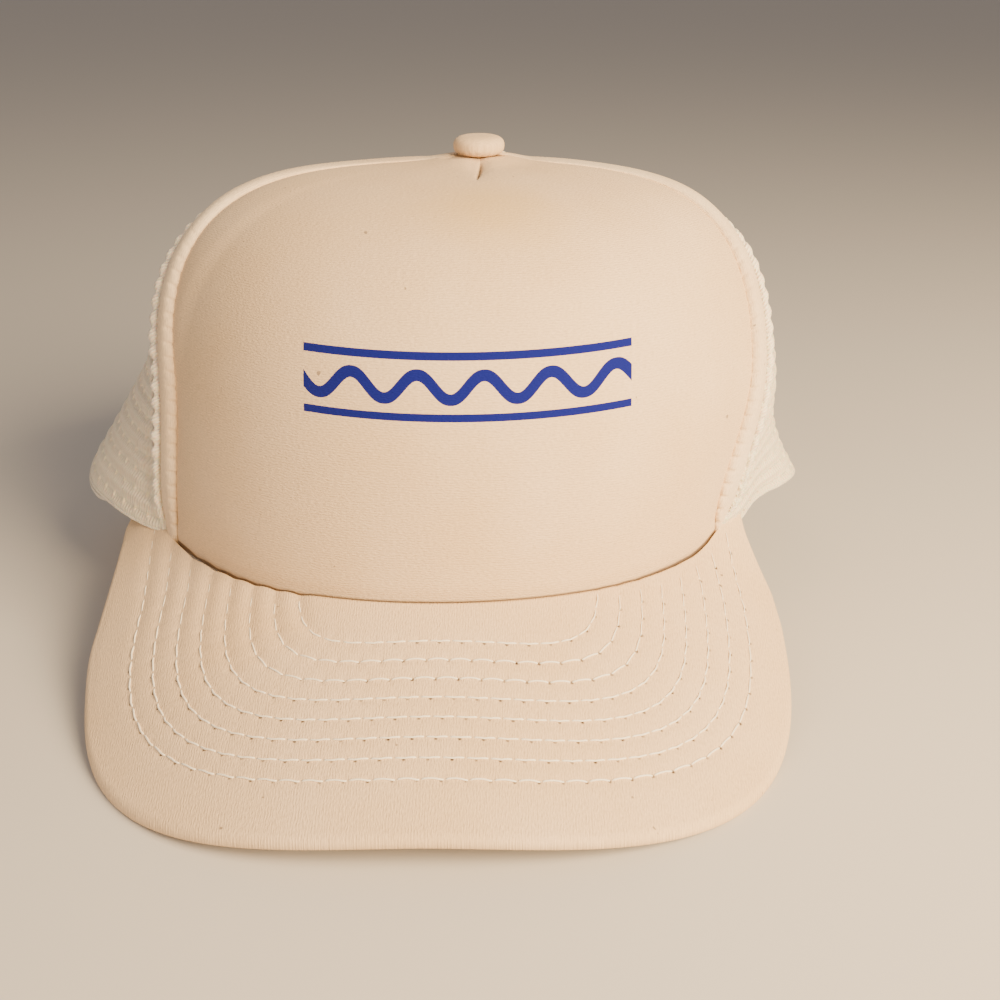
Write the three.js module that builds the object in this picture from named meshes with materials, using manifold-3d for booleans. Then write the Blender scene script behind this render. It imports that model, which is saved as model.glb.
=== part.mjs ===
// A foam-front, mesh-back cap at rest on its peak's front corners and its rear rim.
// Millimetres, +Z up, the peak points to -Y and +X is the wearer's left, the viewer's right.
// While the pieces are shaped, the origin is the centre of the arc where the peak meets the crown.
// Azimuths are in degrees round that axis: 0 is the front, 90 is +X and 180 is the rear.
import * as THREE from 'three';
import { mergeVertices } from 'three/addons/utils/BufferGeometryUtils.js';
import Module from 'manifold-3d';

const GAP = 0.3; // clearance between neighbouring pieces

// Peak: an arched board whose outline is a superellipse, cut by the crown's front arc
const PEAK = {
  halfWidth: 92,
  frontDepth: 81,
  rearDepth: 130,
  centreY: -72,
  squareness: 2.55,
  skew: 0.1, // sideways drift of the rear half to -X per millimetre
  thickness: 3.4,
  slope: 0.38, // rise towards the crown per millimetre
  arch: 0.003, // fall to each side, times the square of the distance from the middle
  seamHeight: 35.4, // top surface in the middle of the seam
  tipStart: 62.5, // azimuths between which each end narrows, thins and dips to its tip, under the mesh
  tipEnd: 69.5,
  tipWidth: 1.6,
  tipDip: 3,
  tipThickness: 1.4,
  lip: 1.5, // radius that the outer edge is rounded to
};

// Crown: a wall from the rim that turns over into a flat top
const CROWN = {
  seamRadius: 91.6,
  topHeight: 129.6,
  topHoleRadius: 4.6, // the panels stop here, under the button
  sideShift: 5.5, // the crown sits this far to +X of the peak
  topShift: 4.2, // and its top leans this much further
  rowSpacing: 1.5, // exponent that spaces the rows from rim to top
};

// A row for each azimuth; wall and rim are radii, rim height is above the table.
// fullness is the exponent of the wall's profile, flare the height in which the rim spreads.
const crownSections = [
  { azimuth: -180, wall: 80, rim: 79, rimHeight: 2, fullness: 2.4, flare: 20 },
  { azimuth: -150, wall: 84, rim: 87, rimHeight: 5, fullness: 2.5, flare: 20 },
  { azimuth: -122, wall: 91, rim: 102, rimHeight: 20, fullness: 2.9, flare: 20 },
  { azimuth: -96, wall: 96, rim: 113.5, rimHeight: 34, fullness: 3.3, flare: 19 },
  { azimuth: -84, wall: 96, rim: 111.5, rimHeight: 34.5, fullness: 3.5, flare: 19 },
  { azimuth: -72, wall: 95, rim: 103.5, rimHeight: 33, fullness: 3.6, flare: 18 },
  { azimuth: -62, wall: 93, rim: 96, rimHeight: 33.6, fullness: 3.6, flare: 16 },
  { azimuth: -56, wall: 91.6, rim: 91.6, rimHeight: 33.8, fullness: 3.5, flare: 16 },
  { azimuth: -28, wall: 91.6, rim: 91.6, rimHeight: 34.3, fullness: 3.1, flare: 16 },
  { azimuth: 0, wall: 91.6, rim: 91.6, rimHeight: 35.8, fullness: 2.9, flare: 16 },
  { azimuth: 28, wall: 91.6, rim: 91.6, rimHeight: 34.3, fullness: 2.9, flare: 14 },
  { azimuth: 56, wall: 91.6, rim: 91.6, rimHeight: 33.8, fullness: 3.1, flare: 14 },
  { azimuth: 62, wall: 93, rim: 94, rimHeight: 33.6, fullness: 3.15, flare: 14 },
  { azimuth: 72, wall: 94.5, rim: 97, rimHeight: 33, fullness: 3.2, flare: 14 },
  { azimuth: 84, wall: 95.5, rim: 107, rimHeight: 35.5, fullness: 3.2, flare: 11 },
  { azimuth: 96, wall: 95.5, rim: 111, rimHeight: 34.5, fullness: 3.1, flare: 12 },
  { azimuth: 122, wall: 91, rim: 100, rimHeight: 19, fullness: 2.9, flare: 18 },
  { azimuth: 150, wall: 84, rim: 87, rimHeight: 5, fullness: 2.5, flare: 20 },
];

// Seams: azimuth of the arch seam at its foot and at the button, and of the side and rear seams
const SEAMS = {
  archFoot: 56,
  archTop: 88,
  archBend: 1.6, // exponent of the arch seam's sweep from foot to button
  rearSide: 128,
  rear: 180,
};

// Band that follows the arch seam
const BAND = {
  width: 6.4,
  thickness: 3.2,
  proud: 1.5,
  widestTurn: 30, // degrees of azimuth that it may take near the button
  flatRadius: 8, // it lies flat within this distance of the axis, under the button
  fullRadius: 18,
  roundness: 0.92, // 1 would bring its edges right down to the panels
};

const FOAM_THICKNESS = 2.6;
const SEAM_TUCK = 2.4; // how far the front panel goes down behind the peak's inner edge
const MESH_THICKNESS = 1;

// Dart pinched into the front panel under the button, between two distances from the axis
const DART = {
  depth: 2.2,
  halfWidth: 2.6,
  start: 3,
  deepest: 7,
  end: 27,
};

// Least angle in degrees between the band and the side seam, and on to the rear panels
const NARROWEST_PANEL = 3;

// Net of the mesh panels: openings across and up each panel, and the share of a cell that is open
const NET = {
  open: 0.66,
  columns: 5,
  rows: 6,
};

// Half-moon opening at the back and the tape round it
const OPENING = {
  halfWidth: 48,
  height: 56,
  tapeWidth: 7,
  tapeThickness: 1.9,
  tapeProud: 0.8,
};

// Sweatband: it hangs inside the rim, and behind the peak its lower edge folds out under the mesh
const SWEATBAND = {
  height: 28,
  thickness: 1.2,
  inset: 3.1,
  foldInset: -0.2, // how far in the folded edge reaches under the mesh; minus is past its face
  foldStart: 71, // azimuths between which the fold opens out
  foldFull: 78,
};

// Its lower edge, from the outer face round to the inner one: distance above the crown's rim where
// it is plain, at the front, and below the rim where it is folded
const sweatbandEdge = [
  { folds: false, inner: false, rise: 1, drop: 0.9 },
  { folds: true, inner: false, rise: 0.9, drop: 0.9 },
  { folds: true, inner: false, rise: 0.5, drop: 2 },
  { folds: false, inner: true, rise: 0.4, drop: 2 },
];

// Closure strap across the opening: two tabs fused where they overlap
const STRAP = {
  height: 19,
  thickness: 1.2,
  inset: 1.5,
  tuck: 6.4, // length of each end behind the tape
  overlap: 15, // half of the overlap's angle in degrees
  fuse: 0.2, // depth by which fused parts sink into each other
  drop: 2.5, // its lower edge reaches this far below the rim, before the table trims it flat
  studRadius: 2.1,
  studHeight: 2,
  holeRadius: 2.6,
  pitch: 7.2, // degrees between studs and between holes
};
const strapStuds = [-1.5, -0.5, 0.5, 1.5, 2.5, 3.5]; // places along the strap, in pitches
const strapHoles = [-2.5, -3.5];

const BUTTON = {
  radius: 7.25,
  height: 5.6,
  edge: 2.2, // radius of its rounded edge
  domeRise: 0.5, // from the rounded edge to the middle
  footChamfer: 1,
  sides: 28,
};

const RADIANS = Math.PI / 180;
const wasm = await Module();
wasm.setup();

// Value of one column of the section table at an azimuth, by a periodic cubic through the rows
function sectionValue(column, azimuth) {
  const rows = crownSections;
  const count = rows.length;
  const turned = ((azimuth + 180) % 360 + 360) % 360 - 180;
  let index = count - 1;
  while (rows[index].azimuth > turned) {
    index -= 1;
  }
  const row = (step) => {
    const wrapped = (index + step + count) % count;
    const turns = Math.floor((index + step) / count);
    return { x: rows[wrapped].azimuth + 360 * turns, y: rows[wrapped][column] };
  };
  const [before, from, to, after] = [row(-1), row(0), row(1), row(2)];
  const span = to.x - from.x;
  const along = (turned - from.x) / span;
  const startSlope = (to.y - before.y) / (to.x - before.x);
  const endSlope = (after.y - from.y) / (after.x - from.x);
  const [a2, a3] = [along * along, along * along * along];
  return (2 * a3 - 3 * a2 + 1) * from.y + (a3 - 2 * a2 + along) * span * startSlope
    + (3 * a2 - 2 * a3) * to.y + (a3 - a2) * span * endSlope;
}

function smoothStep(value) {
  const clamped = Math.min(Math.max(value, 0), 1);
  return clamped * clamped * (3 - 2 * clamped);
}

// Turns a share of the way from rim to top into the angle of the wall's superellipse profile
function profileAngle(share) {
  return 90 * RADIANS * Math.pow(share, CROWN.rowSpacing);
}

// Distance from the axis to the crown wall
function crownRadius(azimuth, share) {
  const angle = profileAngle(share);
  const power = 2 / sectionValue('fullness', azimuth);
  const wall = sectionValue('wall', azimuth);
  const rimHeight = sectionValue('rimHeight', azimuth);
  const rise = (CROWN.topHeight - rimHeight) * Math.pow(Math.sin(angle), power);
  const spread = Math.exp(-Math.pow(rise / sectionValue('flare', azimuth), 2));
  const shrink = Math.pow(Math.max(Math.cos(angle), 0), power);
  return wall * shrink + (sectionValue('rim', azimuth) - wall) * spread;
}

// Outer surface of the crown: share 0 is the rim and 1 the middle of the top
function crownSurface(azimuth, share) {
  const angle = profileAngle(share);
  const power = 2 / sectionValue('fullness', azimuth);
  const radius = crownRadius(azimuth, share);
  const rimHeight = sectionValue('rimHeight', azimuth);
  const climb = Math.pow(Math.sin(angle), power);
  const shift = CROWN.sideShift * smoothStep(climb / 0.5) + CROWN.topShift * Math.pow(climb, 4);
  const x = radius * Math.sin(azimuth * RADIANS);
  const y = -radius * Math.cos(azimuth * RADIANS);
  const dart = y < 0 ? dartDepth(x, radius) : 0;
  return new THREE.Vector3(x + shift, y, rimHeight + (CROWN.topHeight - rimHeight) * climb - dart);
}

// Depth of the dart at a distance to one side of the middle and a distance from the axis
function dartDepth(x, radius) {
  const opening = smoothStep((radius - DART.start) / (DART.deepest - DART.start));
  const closing = 1 - smoothStep((radius - DART.deepest) / (DART.end - DART.deepest));
  return DART.depth * opening * closing * Math.exp(-Math.pow(x / DART.halfWidth, 2));
}

// Point of the crown moved inwards, square to its surface
function crownPoint(azimuth, share, inset) {
  const step = 0.004;
  const low = Math.max(share - step, 0);
  const high = Math.min(share + step, 1);
  const up = crownSurface(azimuth, high).sub(crownSurface(azimuth, low));
  const across = crownSurface(azimuth + 0.5, share).sub(crownSurface(azimuth - 0.5, share));
  const inward = new THREE.Vector3().crossVectors(up, across).normalize();
  return crownSurface(azimuth, share).addScaledVector(inward, inset);
}

// Share of the way up at which the crown is a given height above its rim
function shareAtRise(azimuth, rise) {
  const climb = rise / (CROWN.topHeight - sectionValue('rimHeight', azimuth));
  const sine = Math.pow(Math.min(Math.max(climb, 0), 1), sectionValue('fullness', azimuth) / 2);
  return Math.pow(Math.asin(sine) / (90 * RADIANS), 1 / CROWN.rowSpacing);
}

// Share of the way up at which the crown narrows to a given radius near its top
function shareAtRadius(azimuth, radius) {
  let [low, high] = [0.5, 1];
  for (let step = 0; step < 30; step += 1) {
    const middle = (low + high) / 2;
    if (crownRadius(azimuth, middle) > radius) {
      low = middle;
    } else {
      high = middle;
    }
  }
  return (low + high) / 2;
}

// Closed mesh from rings of points: each ring is a closed loop, joined to the next, with capped ends
function loftRings(rings) {
  const sides = rings[0].length;
  const positions = rings.flat().flatMap((point) => point.toArray());
  const indices = [];
  for (let ring = 0; ring + 1 < rings.length; ring += 1) {
    for (let side = 0; side < sides; side += 1) {
      const next = (side + 1) % sides;
      const [a, b] = [ring * sides + side, ring * sides + next];
      indices.push(a, b, b + sides, a, b + sides, a + sides);
    }
  }
  for (const [ring, flip] of [[0, true], [rings.length - 1, false]]) {
    const outline = THREE.ShapeUtils.triangulateShape(flatten(rings[ring]), []);
    for (const [a, b, c] of outline) {
      const base = ring * sides;
      indices.push(...(flip ? [base + a, base + c, base + b] : [base + a, base + b, base + c]));
    }
  }
  return orientOutwards(positions, indices);
}

// Flat coordinates of a nearly flat ring, in the plane that fits it
function flatten(ring) {
  const middle = ring.reduce((sum, point) => sum.add(point), new THREE.Vector3()).divideScalar(ring.length);
  const normal = new THREE.Vector3();
  ring.forEach((point, index) => {
    const next = ring[(index + 1) % ring.length];
    normal.add(new THREE.Vector3().crossVectors(point.clone().sub(middle), next.clone().sub(middle)));
  });
  normal.normalize();
  const across = ring[0].clone().sub(middle).cross(normal).normalize();
  const up = new THREE.Vector3().crossVectors(normal, across);
  return ring.map((point) => {
    const arm = point.clone().sub(middle);
    return new THREE.Vector2(arm.dot(across), arm.dot(up));
  });
}

// Geometry whose faces point outwards, judged by the sign of its volume
function orientOutwards(positions, indices) {
  const point = (index) => new THREE.Vector3().fromArray(positions, 3 * index);
  let volume = 0;
  for (let face = 0; face < indices.length; face += 3) {
    const [a, b, c] = [point(indices[face]), point(indices[face + 1]), point(indices[face + 2])];
    volume += a.dot(b.cross(c)) / 6;
  }
  const facing = indices.slice();
  if (volume < 0) {
    for (let face = 0; face < facing.length; face += 3) {
      [facing[face + 1], facing[face + 2]] = [facing[face + 2], facing[face + 1]];
    }
  }
  const geometry = new THREE.BufferGeometry();
  geometry.setAttribute('position', new THREE.Float32BufferAttribute(positions, 3));
  geometry.setIndex(facing);
  return geometry;
}

// Closed shell between an outer and an inner grid of points, with chosen cells left open.
// A left-out cell is a hole through the wall.
function gridShell(outer, inner, isOpen = () => false) {
  const rows = outer.length;
  const columns = outer[0].length;
  const size = rows * columns;
  const positions = [...outer.flat(), ...inner.flat()].flatMap((point) => point.toArray());
  const at = (row, column) => row * columns + column;
  const indices = [];
  const quad = (a, b, c, d) => indices.push(a, b, c, a, c, d);
  const solid = (row, column) => row >= 0 && column >= 0 && row < rows - 1 && column < columns - 1
    && !isOpen(row, column);
  for (let row = 0; row < rows - 1; row += 1) {
    for (let column = 0; column < columns - 1; column += 1) {
      if (!solid(row, column)) {
        continue;
      }
      const [a, b] = [at(row, column), at(row, column + 1)];
      const [d, c] = [at(row + 1, column), at(row + 1, column + 1)];
      quad(a, b, c, d);
      quad(a + size, d + size, c + size, b + size);
      if (!solid(row - 1, column)) {
        quad(b, a, a + size, b + size);
      }
      if (!solid(row + 1, column)) {
        quad(d, c, c + size, d + size);
      }
      if (!solid(row, column - 1)) {
        quad(a, d, d + size, a + size);
      }
      if (!solid(row, column + 1)) {
        quad(c, b, b + size, c + size);
      }
    }
  }
  return withoutSpareVertices(orientOutwards(positions, indices));
}

function withoutSpareVertices(geometry) {
  return mergeVertices(geometry.toNonIndexed(), 1e-5);
}

// Evenly spaced numbers from one value to another
function steps(from, to, count) {
  return Array.from({ length: count + 1 }, (_, index) => from + (to - from) * index / count);
}

// Azimuth of the arch seam at a share of the way up
function archAzimuth(share) {
  return SEAMS.archFoot + (SEAMS.archTop - SEAMS.archFoot) * Math.pow(share, SEAMS.archBend);
}

// Angle in degrees that a length takes along the crown at a share of the way up
function turnFor(length, azimuth, share) {
  return length / Math.max(crownRadius(azimuth, share), 1) / RADIANS;
}

// Azimuth of the band's rear edge
function bandEdge(share) {
  const seam = archAzimuth(share);
  return seam + Math.min(turnFor(BAND.width, seam, share), BAND.widestTurn);
}

// Cell lines of a net: solid bars at both ends and between the openings
function netLines(count) {
  const bar = (1 - NET.open) / count;
  const lines = [0];
  for (let opening = 0; opening < count; opening += 1) {
    lines.push(opening / count + (opening === 0 ? bar : bar / 2));
    lines.push((opening + 1) / count - (opening === count - 1 ? bar : bar / 2));
  }
  lines.push(1);
  return lines;
}

// Rows and columns with an odd index are open, the others are bars
const isNetOpening = (row, column) => row % 2 === 1 && column % 2 === 1;

// Shares of the way from the rim to the button that the rows of every panel use
const TOP_SHARE = shareAtRadius(90, CROWN.topHoleRadius);
const rowShares = netLines(NET.rows).map((line) => line * TOP_SHARE);

function frontPanel() {
  const columns = steps(-1, 1, 28);
  const grid = (inset) => {
    const rows = rowShares.map((share) => {
      const edge = archAzimuth(share) - turnFor(GAP / 2, archAzimuth(share), share);
      return columns.map((column) => crownPoint(edge * column, share, inset));
    });
    const tuck = rows[0].map((point) => point.clone().setZ(point.z - SEAM_TUCK));
    return [tuck, ...rows];
  };
  return gridShell(grid(0), grid(FOAM_THICKNESS));
}

function seamBand(side) {
  const profile = steps(0, 1, 4);
  const grid = (depth) => rowShares.map((share) => {
    const from = archAzimuth(share) + turnFor(GAP / 2, archAzimuth(share), share);
    const to = bandEdge(share) - turnFor(GAP / 2, archAzimuth(share), share);
    const radius = crownRadius(from, share);
    const proud = BAND.proud * smoothStep((radius - BAND.flatRadius) / (BAND.fullRadius - BAND.flatRadius));
    return profile.map((across) => {
      const crest = proud * Math.sqrt(1 - BAND.roundness * Math.pow(2 * across - 1, 2));
      const inset = depth === 0 ? -crest : BAND.thickness - BAND.proud;
      return crownPoint(side * (from + (to - from) * across), share, inset);
    });
  });
  return gridShell(grid(0), grid(1));
}

function meshSide(side) {
  const columns = netLines(NET.columns);
  const grid = (inset) => rowShares.map((share) => {
    const from = bandEdge(share) + turnFor(GAP / 2, archAzimuth(share), share);
    const to = Math.max(SEAMS.rearSide, from + NARROWEST_PANEL) - turnFor(GAP / 2, SEAMS.rearSide, share);
    return columns.map((column) => crownPoint(side * (from + (to - from) * column), share, inset));
  });
  return gridShell(grid(0), grid(MESH_THICKNESS), isNetOpening);
}

// Steps up each half of the opening's arch: the net's columns, less those beside the opening
const ARCH_STEPS = NET.columns * 2 - 1;
const REAR_BAR = 0.3; // share of the rim beside the opening that its first bar takes

// Point on the half-moon curve round the rear opening, grown by a margin: angle 0 is its foot
function openingPoint(angle, margin) {
  const rimRadius = sectionValue('rim', 180);
  const azimuth = 180 - (OPENING.halfWidth + margin) * Math.cos(angle) / rimRadius / RADIANS;
  const rise = (OPENING.height + margin) * Math.sin(angle);
  return { azimuth, share: shareAtRise(azimuth, rise) };
}

function meshRear(side) {
  const margin = OPENING.tapeWidth + GAP;
  const foot = openingPoint(0, margin).azimuth;
  const besideOpening = [0, REAR_BAR, 1].map((part) => SEAMS.rearSide + (foot - SEAMS.rearSide) * part);
  const arch = steps(0, 90, ARCH_STEPS).slice(1).map((angle) => openingPoint(angle * RADIANS, margin));
  const feet = [...besideOpening.map((azimuth) => ({ azimuth, share: 0 })), ...arch];
  const grid = (inset) => netLines(NET.rows).map((row) => feet.map((point) => {
    const share = point.share + (TOP_SHARE - point.share) * row;
    const first = Math.max(SEAMS.rearSide, bandEdge(share) + NARROWEST_PANEL + turnFor(GAP, 180, share));
    const spread = (point.azimuth - SEAMS.rearSide) / (SEAMS.rear - SEAMS.rearSide);
    const from = first + turnFor(GAP / 2, 180, share);
    const to = SEAMS.rear - turnFor(GAP / 2, 180, share);
    return crownPoint(side * (from + (to - from) * spread), share, inset);
  }));
  return gridShell(grid(0), grid(MESH_THICKNESS), isNetOpening);
}

function rearEdgeTape() {
  const angles = steps(0, 180, ARCH_STEPS * 2);
  const margins = steps(0, OPENING.tapeWidth, 2);
  const grid = (inset) => angles.map((angle) => margins.map((margin) => {
    const point = openingPoint(angle * RADIANS, margin);
    return crownPoint(point.azimuth, point.share, inset);
  }));
  return gridShell(grid(-OPENING.tapeProud), grid(OPENING.tapeThickness - OPENING.tapeProud));
}

function sweatband() {
  const end = 180 - (OPENING.halfWidth + OPENING.tapeWidth) / sectionValue('rim', 180) / RADIANS;
  const heights = steps(SWEATBAND.height, 0, 4).slice(0, -1);
  const inner = SWEATBAND.inset + SWEATBAND.thickness;
  const rings = steps(-end, end, 72).map((azimuth) => {
    const openness = (Math.abs(azimuth) - SWEATBAND.foldStart) / (SWEATBAND.foldFull - SWEATBAND.foldStart);
    const fold = smoothStep(openness);
    const face = (inset) => heights.map((rise) => crownPoint(azimuth, shareAtRise(azimuth, rise), inset));
    const edge = sweatbandEdge.map((point) => {
      const plainInset = point.inner ? inner : SWEATBAND.inset;
      const inset = plainInset + (point.folds ? (SWEATBAND.foldInset - plainInset) * fold : 0);
      const lift = point.rise * (1 - fold) - point.drop * fold;
      return crownPoint(azimuth, 0, inset).add(new THREE.Vector3(0, 0, lift));
    });
    return [...face(SWEATBAND.inset), ...edge, ...face(inner).toReversed()];
  });
  return loftRings(rings);
}

// Height of the peak's top surface
function peakHeight(x, y) {
  return PEAK.seamHeight + PEAK.slope * (y + CROWN.seamRadius) - PEAK.arch * x * x;
}

// Distance from the crown's axis to the peak's outline
function peakReach(azimuth) {
  let [low, high] = [CROWN.seamRadius, 200];
  for (let step = 0; step < 40; step += 1) {
    const middle = (low + high) / 2;
    const y = -middle * Math.cos(azimuth * RADIANS) - PEAK.centreY;
    const x = middle * Math.sin(azimuth * RADIANS) + PEAK.skew * Math.max(y, 0);
    const across = Math.abs(x) / PEAK.halfWidth;
    const along = y < 0 ? -y / PEAK.frontDepth : y / PEAK.rearDepth;
    if (Math.pow(across, PEAK.squareness) + Math.pow(along, PEAK.squareness) < 1) {
      low = middle;
    } else {
      high = middle;
    }
  }
  return (low + high) / 2;
}

function peak() {
  const inner = CROWN.seamRadius + 1.5 * GAP;
  const rings = steps(-PEAK.tipEnd, PEAK.tipEnd, 60).map((azimuth) => {
    const narrowing = smoothStep((Math.abs(azimuth) - PEAK.tipStart) / (PEAK.tipEnd - PEAK.tipStart));
    const outer = inner + PEAK.tipWidth + (peakReach(azimuth) - inner - PEAK.tipWidth) * (1 - narrowing);
    const lip = Math.min(PEAK.lip, (outer - inner) / 4);
    const direction = new THREE.Vector3(Math.sin(azimuth * RADIANS), -Math.cos(azimuth * RADIANS), 0);
    const point = (radius, drop) => {
      const spot = direction.clone().multiplyScalar(radius);
      return spot.setZ(peakHeight(spot.x, spot.y) - PEAK.tipDip * narrowing - drop);
    };
    const thickness = PEAK.thickness + (PEAK.tipThickness - PEAK.thickness) * narrowing;
    const flat = outer - lip;
    const corner = lip * (1 - Math.SQRT1_2);
    return [
      ...steps(inner, flat, 4).map((radius) => point(radius, 0)),
      point(outer - corner, corner),
      point(outer, lip),
      point(outer, thickness - lip),
      point(outer - corner, thickness - corner),
      ...steps(flat, inner, 4).map((radius) => point(radius, thickness)),
    ];
  });
  return loftRings(rings);
}

function topButton() {
  const rim = BUTTON.radius;
  const bulge = steps(0, 90, 5).map((angle) => new THREE.Vector2(
    rim - BUTTON.edge + BUTTON.edge * Math.cos(angle * RADIANS),
    BUTTON.height - BUTTON.domeRise - BUTTON.edge + BUTTON.edge * Math.sin(angle * RADIANS),
  ));
  const dome = steps(1, 0, 4).slice(1).map((part) => new THREE.Vector2(
    (rim - BUTTON.edge) * part,
    BUTTON.height - BUTTON.domeRise * part * part,
  ));
  const profile = [
    new THREE.Vector2(0, 0),
    new THREE.Vector2(rim - BUTTON.footChamfer, 0),
    new THREE.Vector2(rim, BUTTON.footChamfer),
    ...bulge,
    ...dome,
  ];
  const geometry = new THREE.LatheGeometry(profile, BUTTON.sides);
  geometry.rotateX(Math.PI / 2);
  return geometry;
}

// Manifold solid of a geometry
function toSolid(geometry) {
  const bare = geometry.clone();
  bare.deleteAttribute('normal');
  bare.deleteAttribute('uv');
  const merged = mergeVertices(bare, 1e-4);
  return new wasm.Manifold(new wasm.Mesh({
    numProp: 3,
    vertProperties: new Float32Array(merged.attributes.position.array),
    triVerts: new Uint32Array(merged.index.array),
  }));
}

function fromSolid(solid) {
  const mesh = solid.getMesh();
  const geometry = new THREE.BufferGeometry();
  geometry.setAttribute('position', new THREE.Float32BufferAttribute(mesh.vertProperties, 3));
  geometry.setIndex(Array.from(mesh.triVerts));
  return geometry;
}

// Round peg square to the crown's wall at the strap's mid height
function strapPeg(azimuth, radius, fromInset, toInset) {
  const share = shareAtRise(azimuth, STRAP.height / 2);
  const start = crownPoint(azimuth, share, fromInset);
  const end = crownPoint(azimuth, share, toInset);
  const peg = new THREE.CylinderGeometry(radius, radius, start.distanceTo(end), 12);
  const direction = end.clone().sub(start).normalize();
  peg.applyQuaternion(new THREE.Quaternion().setFromUnitVectors(new THREE.Vector3(0, 1, 0), direction));
  const middle = start.add(end).multiplyScalar(0.5);
  peg.translate(middle.x, middle.y, middle.z);
  return peg;
}

function strapLayer(fromAzimuth, toAzimuth, outer, inner, columns) {
  const azimuths = steps(fromAzimuth, toAzimuth, columns);
  const grid = (inset) => {
    const foot = azimuths.map((azimuth) => {
      const point = crownPoint(azimuth, 0, inset);
      return point.setZ(point.z - STRAP.drop);
    });
    const rows = steps(0, STRAP.height, 3).map((rise) => azimuths
      .map((azimuth) => crownPoint(azimuth, shareAtRise(azimuth, rise), inset)));
    return [foot, ...rows];
  };
  return gridShell(grid(outer), grid(inner));
}

// The closed strap, with its lower edge trimmed level with the table
function snapStrap(tableHeight) {
  const reach = (OPENING.halfWidth + STRAP.tuck) / sectionValue('rim', 180) / RADIANS;
  const inner = STRAP.inset + STRAP.thickness;
  const coverFace = STRAP.inset - STRAP.thickness;
  let strap = toSolid(strapLayer(180 - reach, 180 + reach, STRAP.inset, inner, 24));
  const cover = strapLayer(180 - STRAP.overlap, 180 + STRAP.overlap, coverFace, STRAP.inset + STRAP.fuse, 8);
  strap = strap.add(toSolid(cover));
  for (const place of strapStuds) {
    const azimuth = 180 + place * STRAP.pitch;
    const stud = strapPeg(azimuth, STRAP.studRadius, inner - 2 * STRAP.fuse, STRAP.inset - STRAP.studHeight);
    strap = strap.add(toSolid(stud));
  }
  for (const place of strapHoles) {
    const azimuth = 180 + place * STRAP.pitch;
    const hole = strapPeg(azimuth, STRAP.holeRadius, inner + STRAP.thickness, coverFace);
    strap = strap.subtract(toSolid(hole));
  }
  const span = 3 * CROWN.seamRadius;
  const below = new THREE.BoxGeometry(span, span, span);
  below.translate(0, 0, tableHeight - span / 2);
  return fromSolid(strap.subtract(toSolid(below)));
}

const whiteFabric = () => new THREE.MeshStandardMaterial({ color: 0xe9dcd2, roughness: 0.85, metalness: 0 });
const whiteNet = () => new THREE.MeshStandardMaterial({ color: 0xf1e9da, roughness: 0.6, metalness: 0 });
const whiteTape = () => new THREE.MeshStandardMaterial({ color: 0xe6ddd0, roughness: 0.8, metalness: 0 });
const whitePlastic = () => new THREE.MeshStandardMaterial({ color: 0xf0ece2, roughness: 0.4, metalness: 0 });

const cap = new THREE.Group();

function addPiece(name, geometry, material) {
  const piece = new THREE.Mesh(geometry, material);
  piece.name = name;
  cap.add(piece);
  return piece;
}

addPiece('front_panel', frontPanel(), whiteFabric());
for (const [side, label] of [[-1, 'right'], [1, 'left']]) {
  addPiece(`seam_band_${label}`, seamBand(side), whiteFabric());
  addPiece(`mesh_side_${label}`, meshSide(side), whiteNet());
  addPiece(`mesh_rear_${label}`, meshRear(side), whiteNet());
}
addPiece('rear_edge_tape', rearEdgeTape(), whiteTape());
addPiece('sweatband', sweatband(), whiteTape());
const peakShape = peak();
peakShape.computeBoundingBox();
addPiece('peak', peakShape, whiteFabric());
addPiece('snap_strap', snapStrap(peakShape.boundingBox.min.z), whitePlastic());
const button = addPiece('top_button', topButton(), whiteFabric());
button.position.set(CROWN.sideShift + CROWN.topShift, 0, CROWN.topHeight + GAP);

// The finished cap stands on the table, on the peak's corners and the strap, centred on its box
const box = new THREE.Box3().setFromObject(cap);
const middle = box.getCenter(new THREE.Vector3());
cap.position.set(-middle.x, -middle.y, -box.min.z);

export default cap;
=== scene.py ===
"""Looks of a white foam-front, mesh-back cap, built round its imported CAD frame.

Metres, +Z up, the peak points to -Y and +X is the wearer's left. The crown's shape is worked out
from the same section table and formulas as the solids, so every piece lies where its solid does.
"""
import math
from functools import partial

import bmesh
import bpy
import numpy as np
from bpy.props import (
    FloatProperty, FloatVectorProperty, IntProperty, PointerProperty, StringProperty)
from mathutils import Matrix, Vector


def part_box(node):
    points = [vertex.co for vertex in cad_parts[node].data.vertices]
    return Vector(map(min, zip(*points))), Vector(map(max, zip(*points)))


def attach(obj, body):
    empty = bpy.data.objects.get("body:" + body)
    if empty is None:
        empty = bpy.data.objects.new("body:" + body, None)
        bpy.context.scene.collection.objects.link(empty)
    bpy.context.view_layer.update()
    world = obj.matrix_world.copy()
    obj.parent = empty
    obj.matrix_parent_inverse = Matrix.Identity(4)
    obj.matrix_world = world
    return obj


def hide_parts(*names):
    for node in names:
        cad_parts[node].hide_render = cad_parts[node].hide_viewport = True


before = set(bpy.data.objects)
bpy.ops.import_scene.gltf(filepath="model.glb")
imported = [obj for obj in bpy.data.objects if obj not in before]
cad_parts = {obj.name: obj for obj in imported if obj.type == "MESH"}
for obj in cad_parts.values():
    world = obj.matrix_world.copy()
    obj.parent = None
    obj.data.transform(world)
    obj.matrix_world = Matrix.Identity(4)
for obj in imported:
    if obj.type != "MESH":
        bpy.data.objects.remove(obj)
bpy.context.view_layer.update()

bl_info = {
    "name": "Trucker cap",
    "version": (1, 0, 0),
    "blender": (4, 5, 0),
    "location": "3D View > Sidebar > Cap",
    "description": "Builds a foam-front, mesh-back cap piece by piece",
    "category": "Object",
}

MM = 0.001

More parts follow.
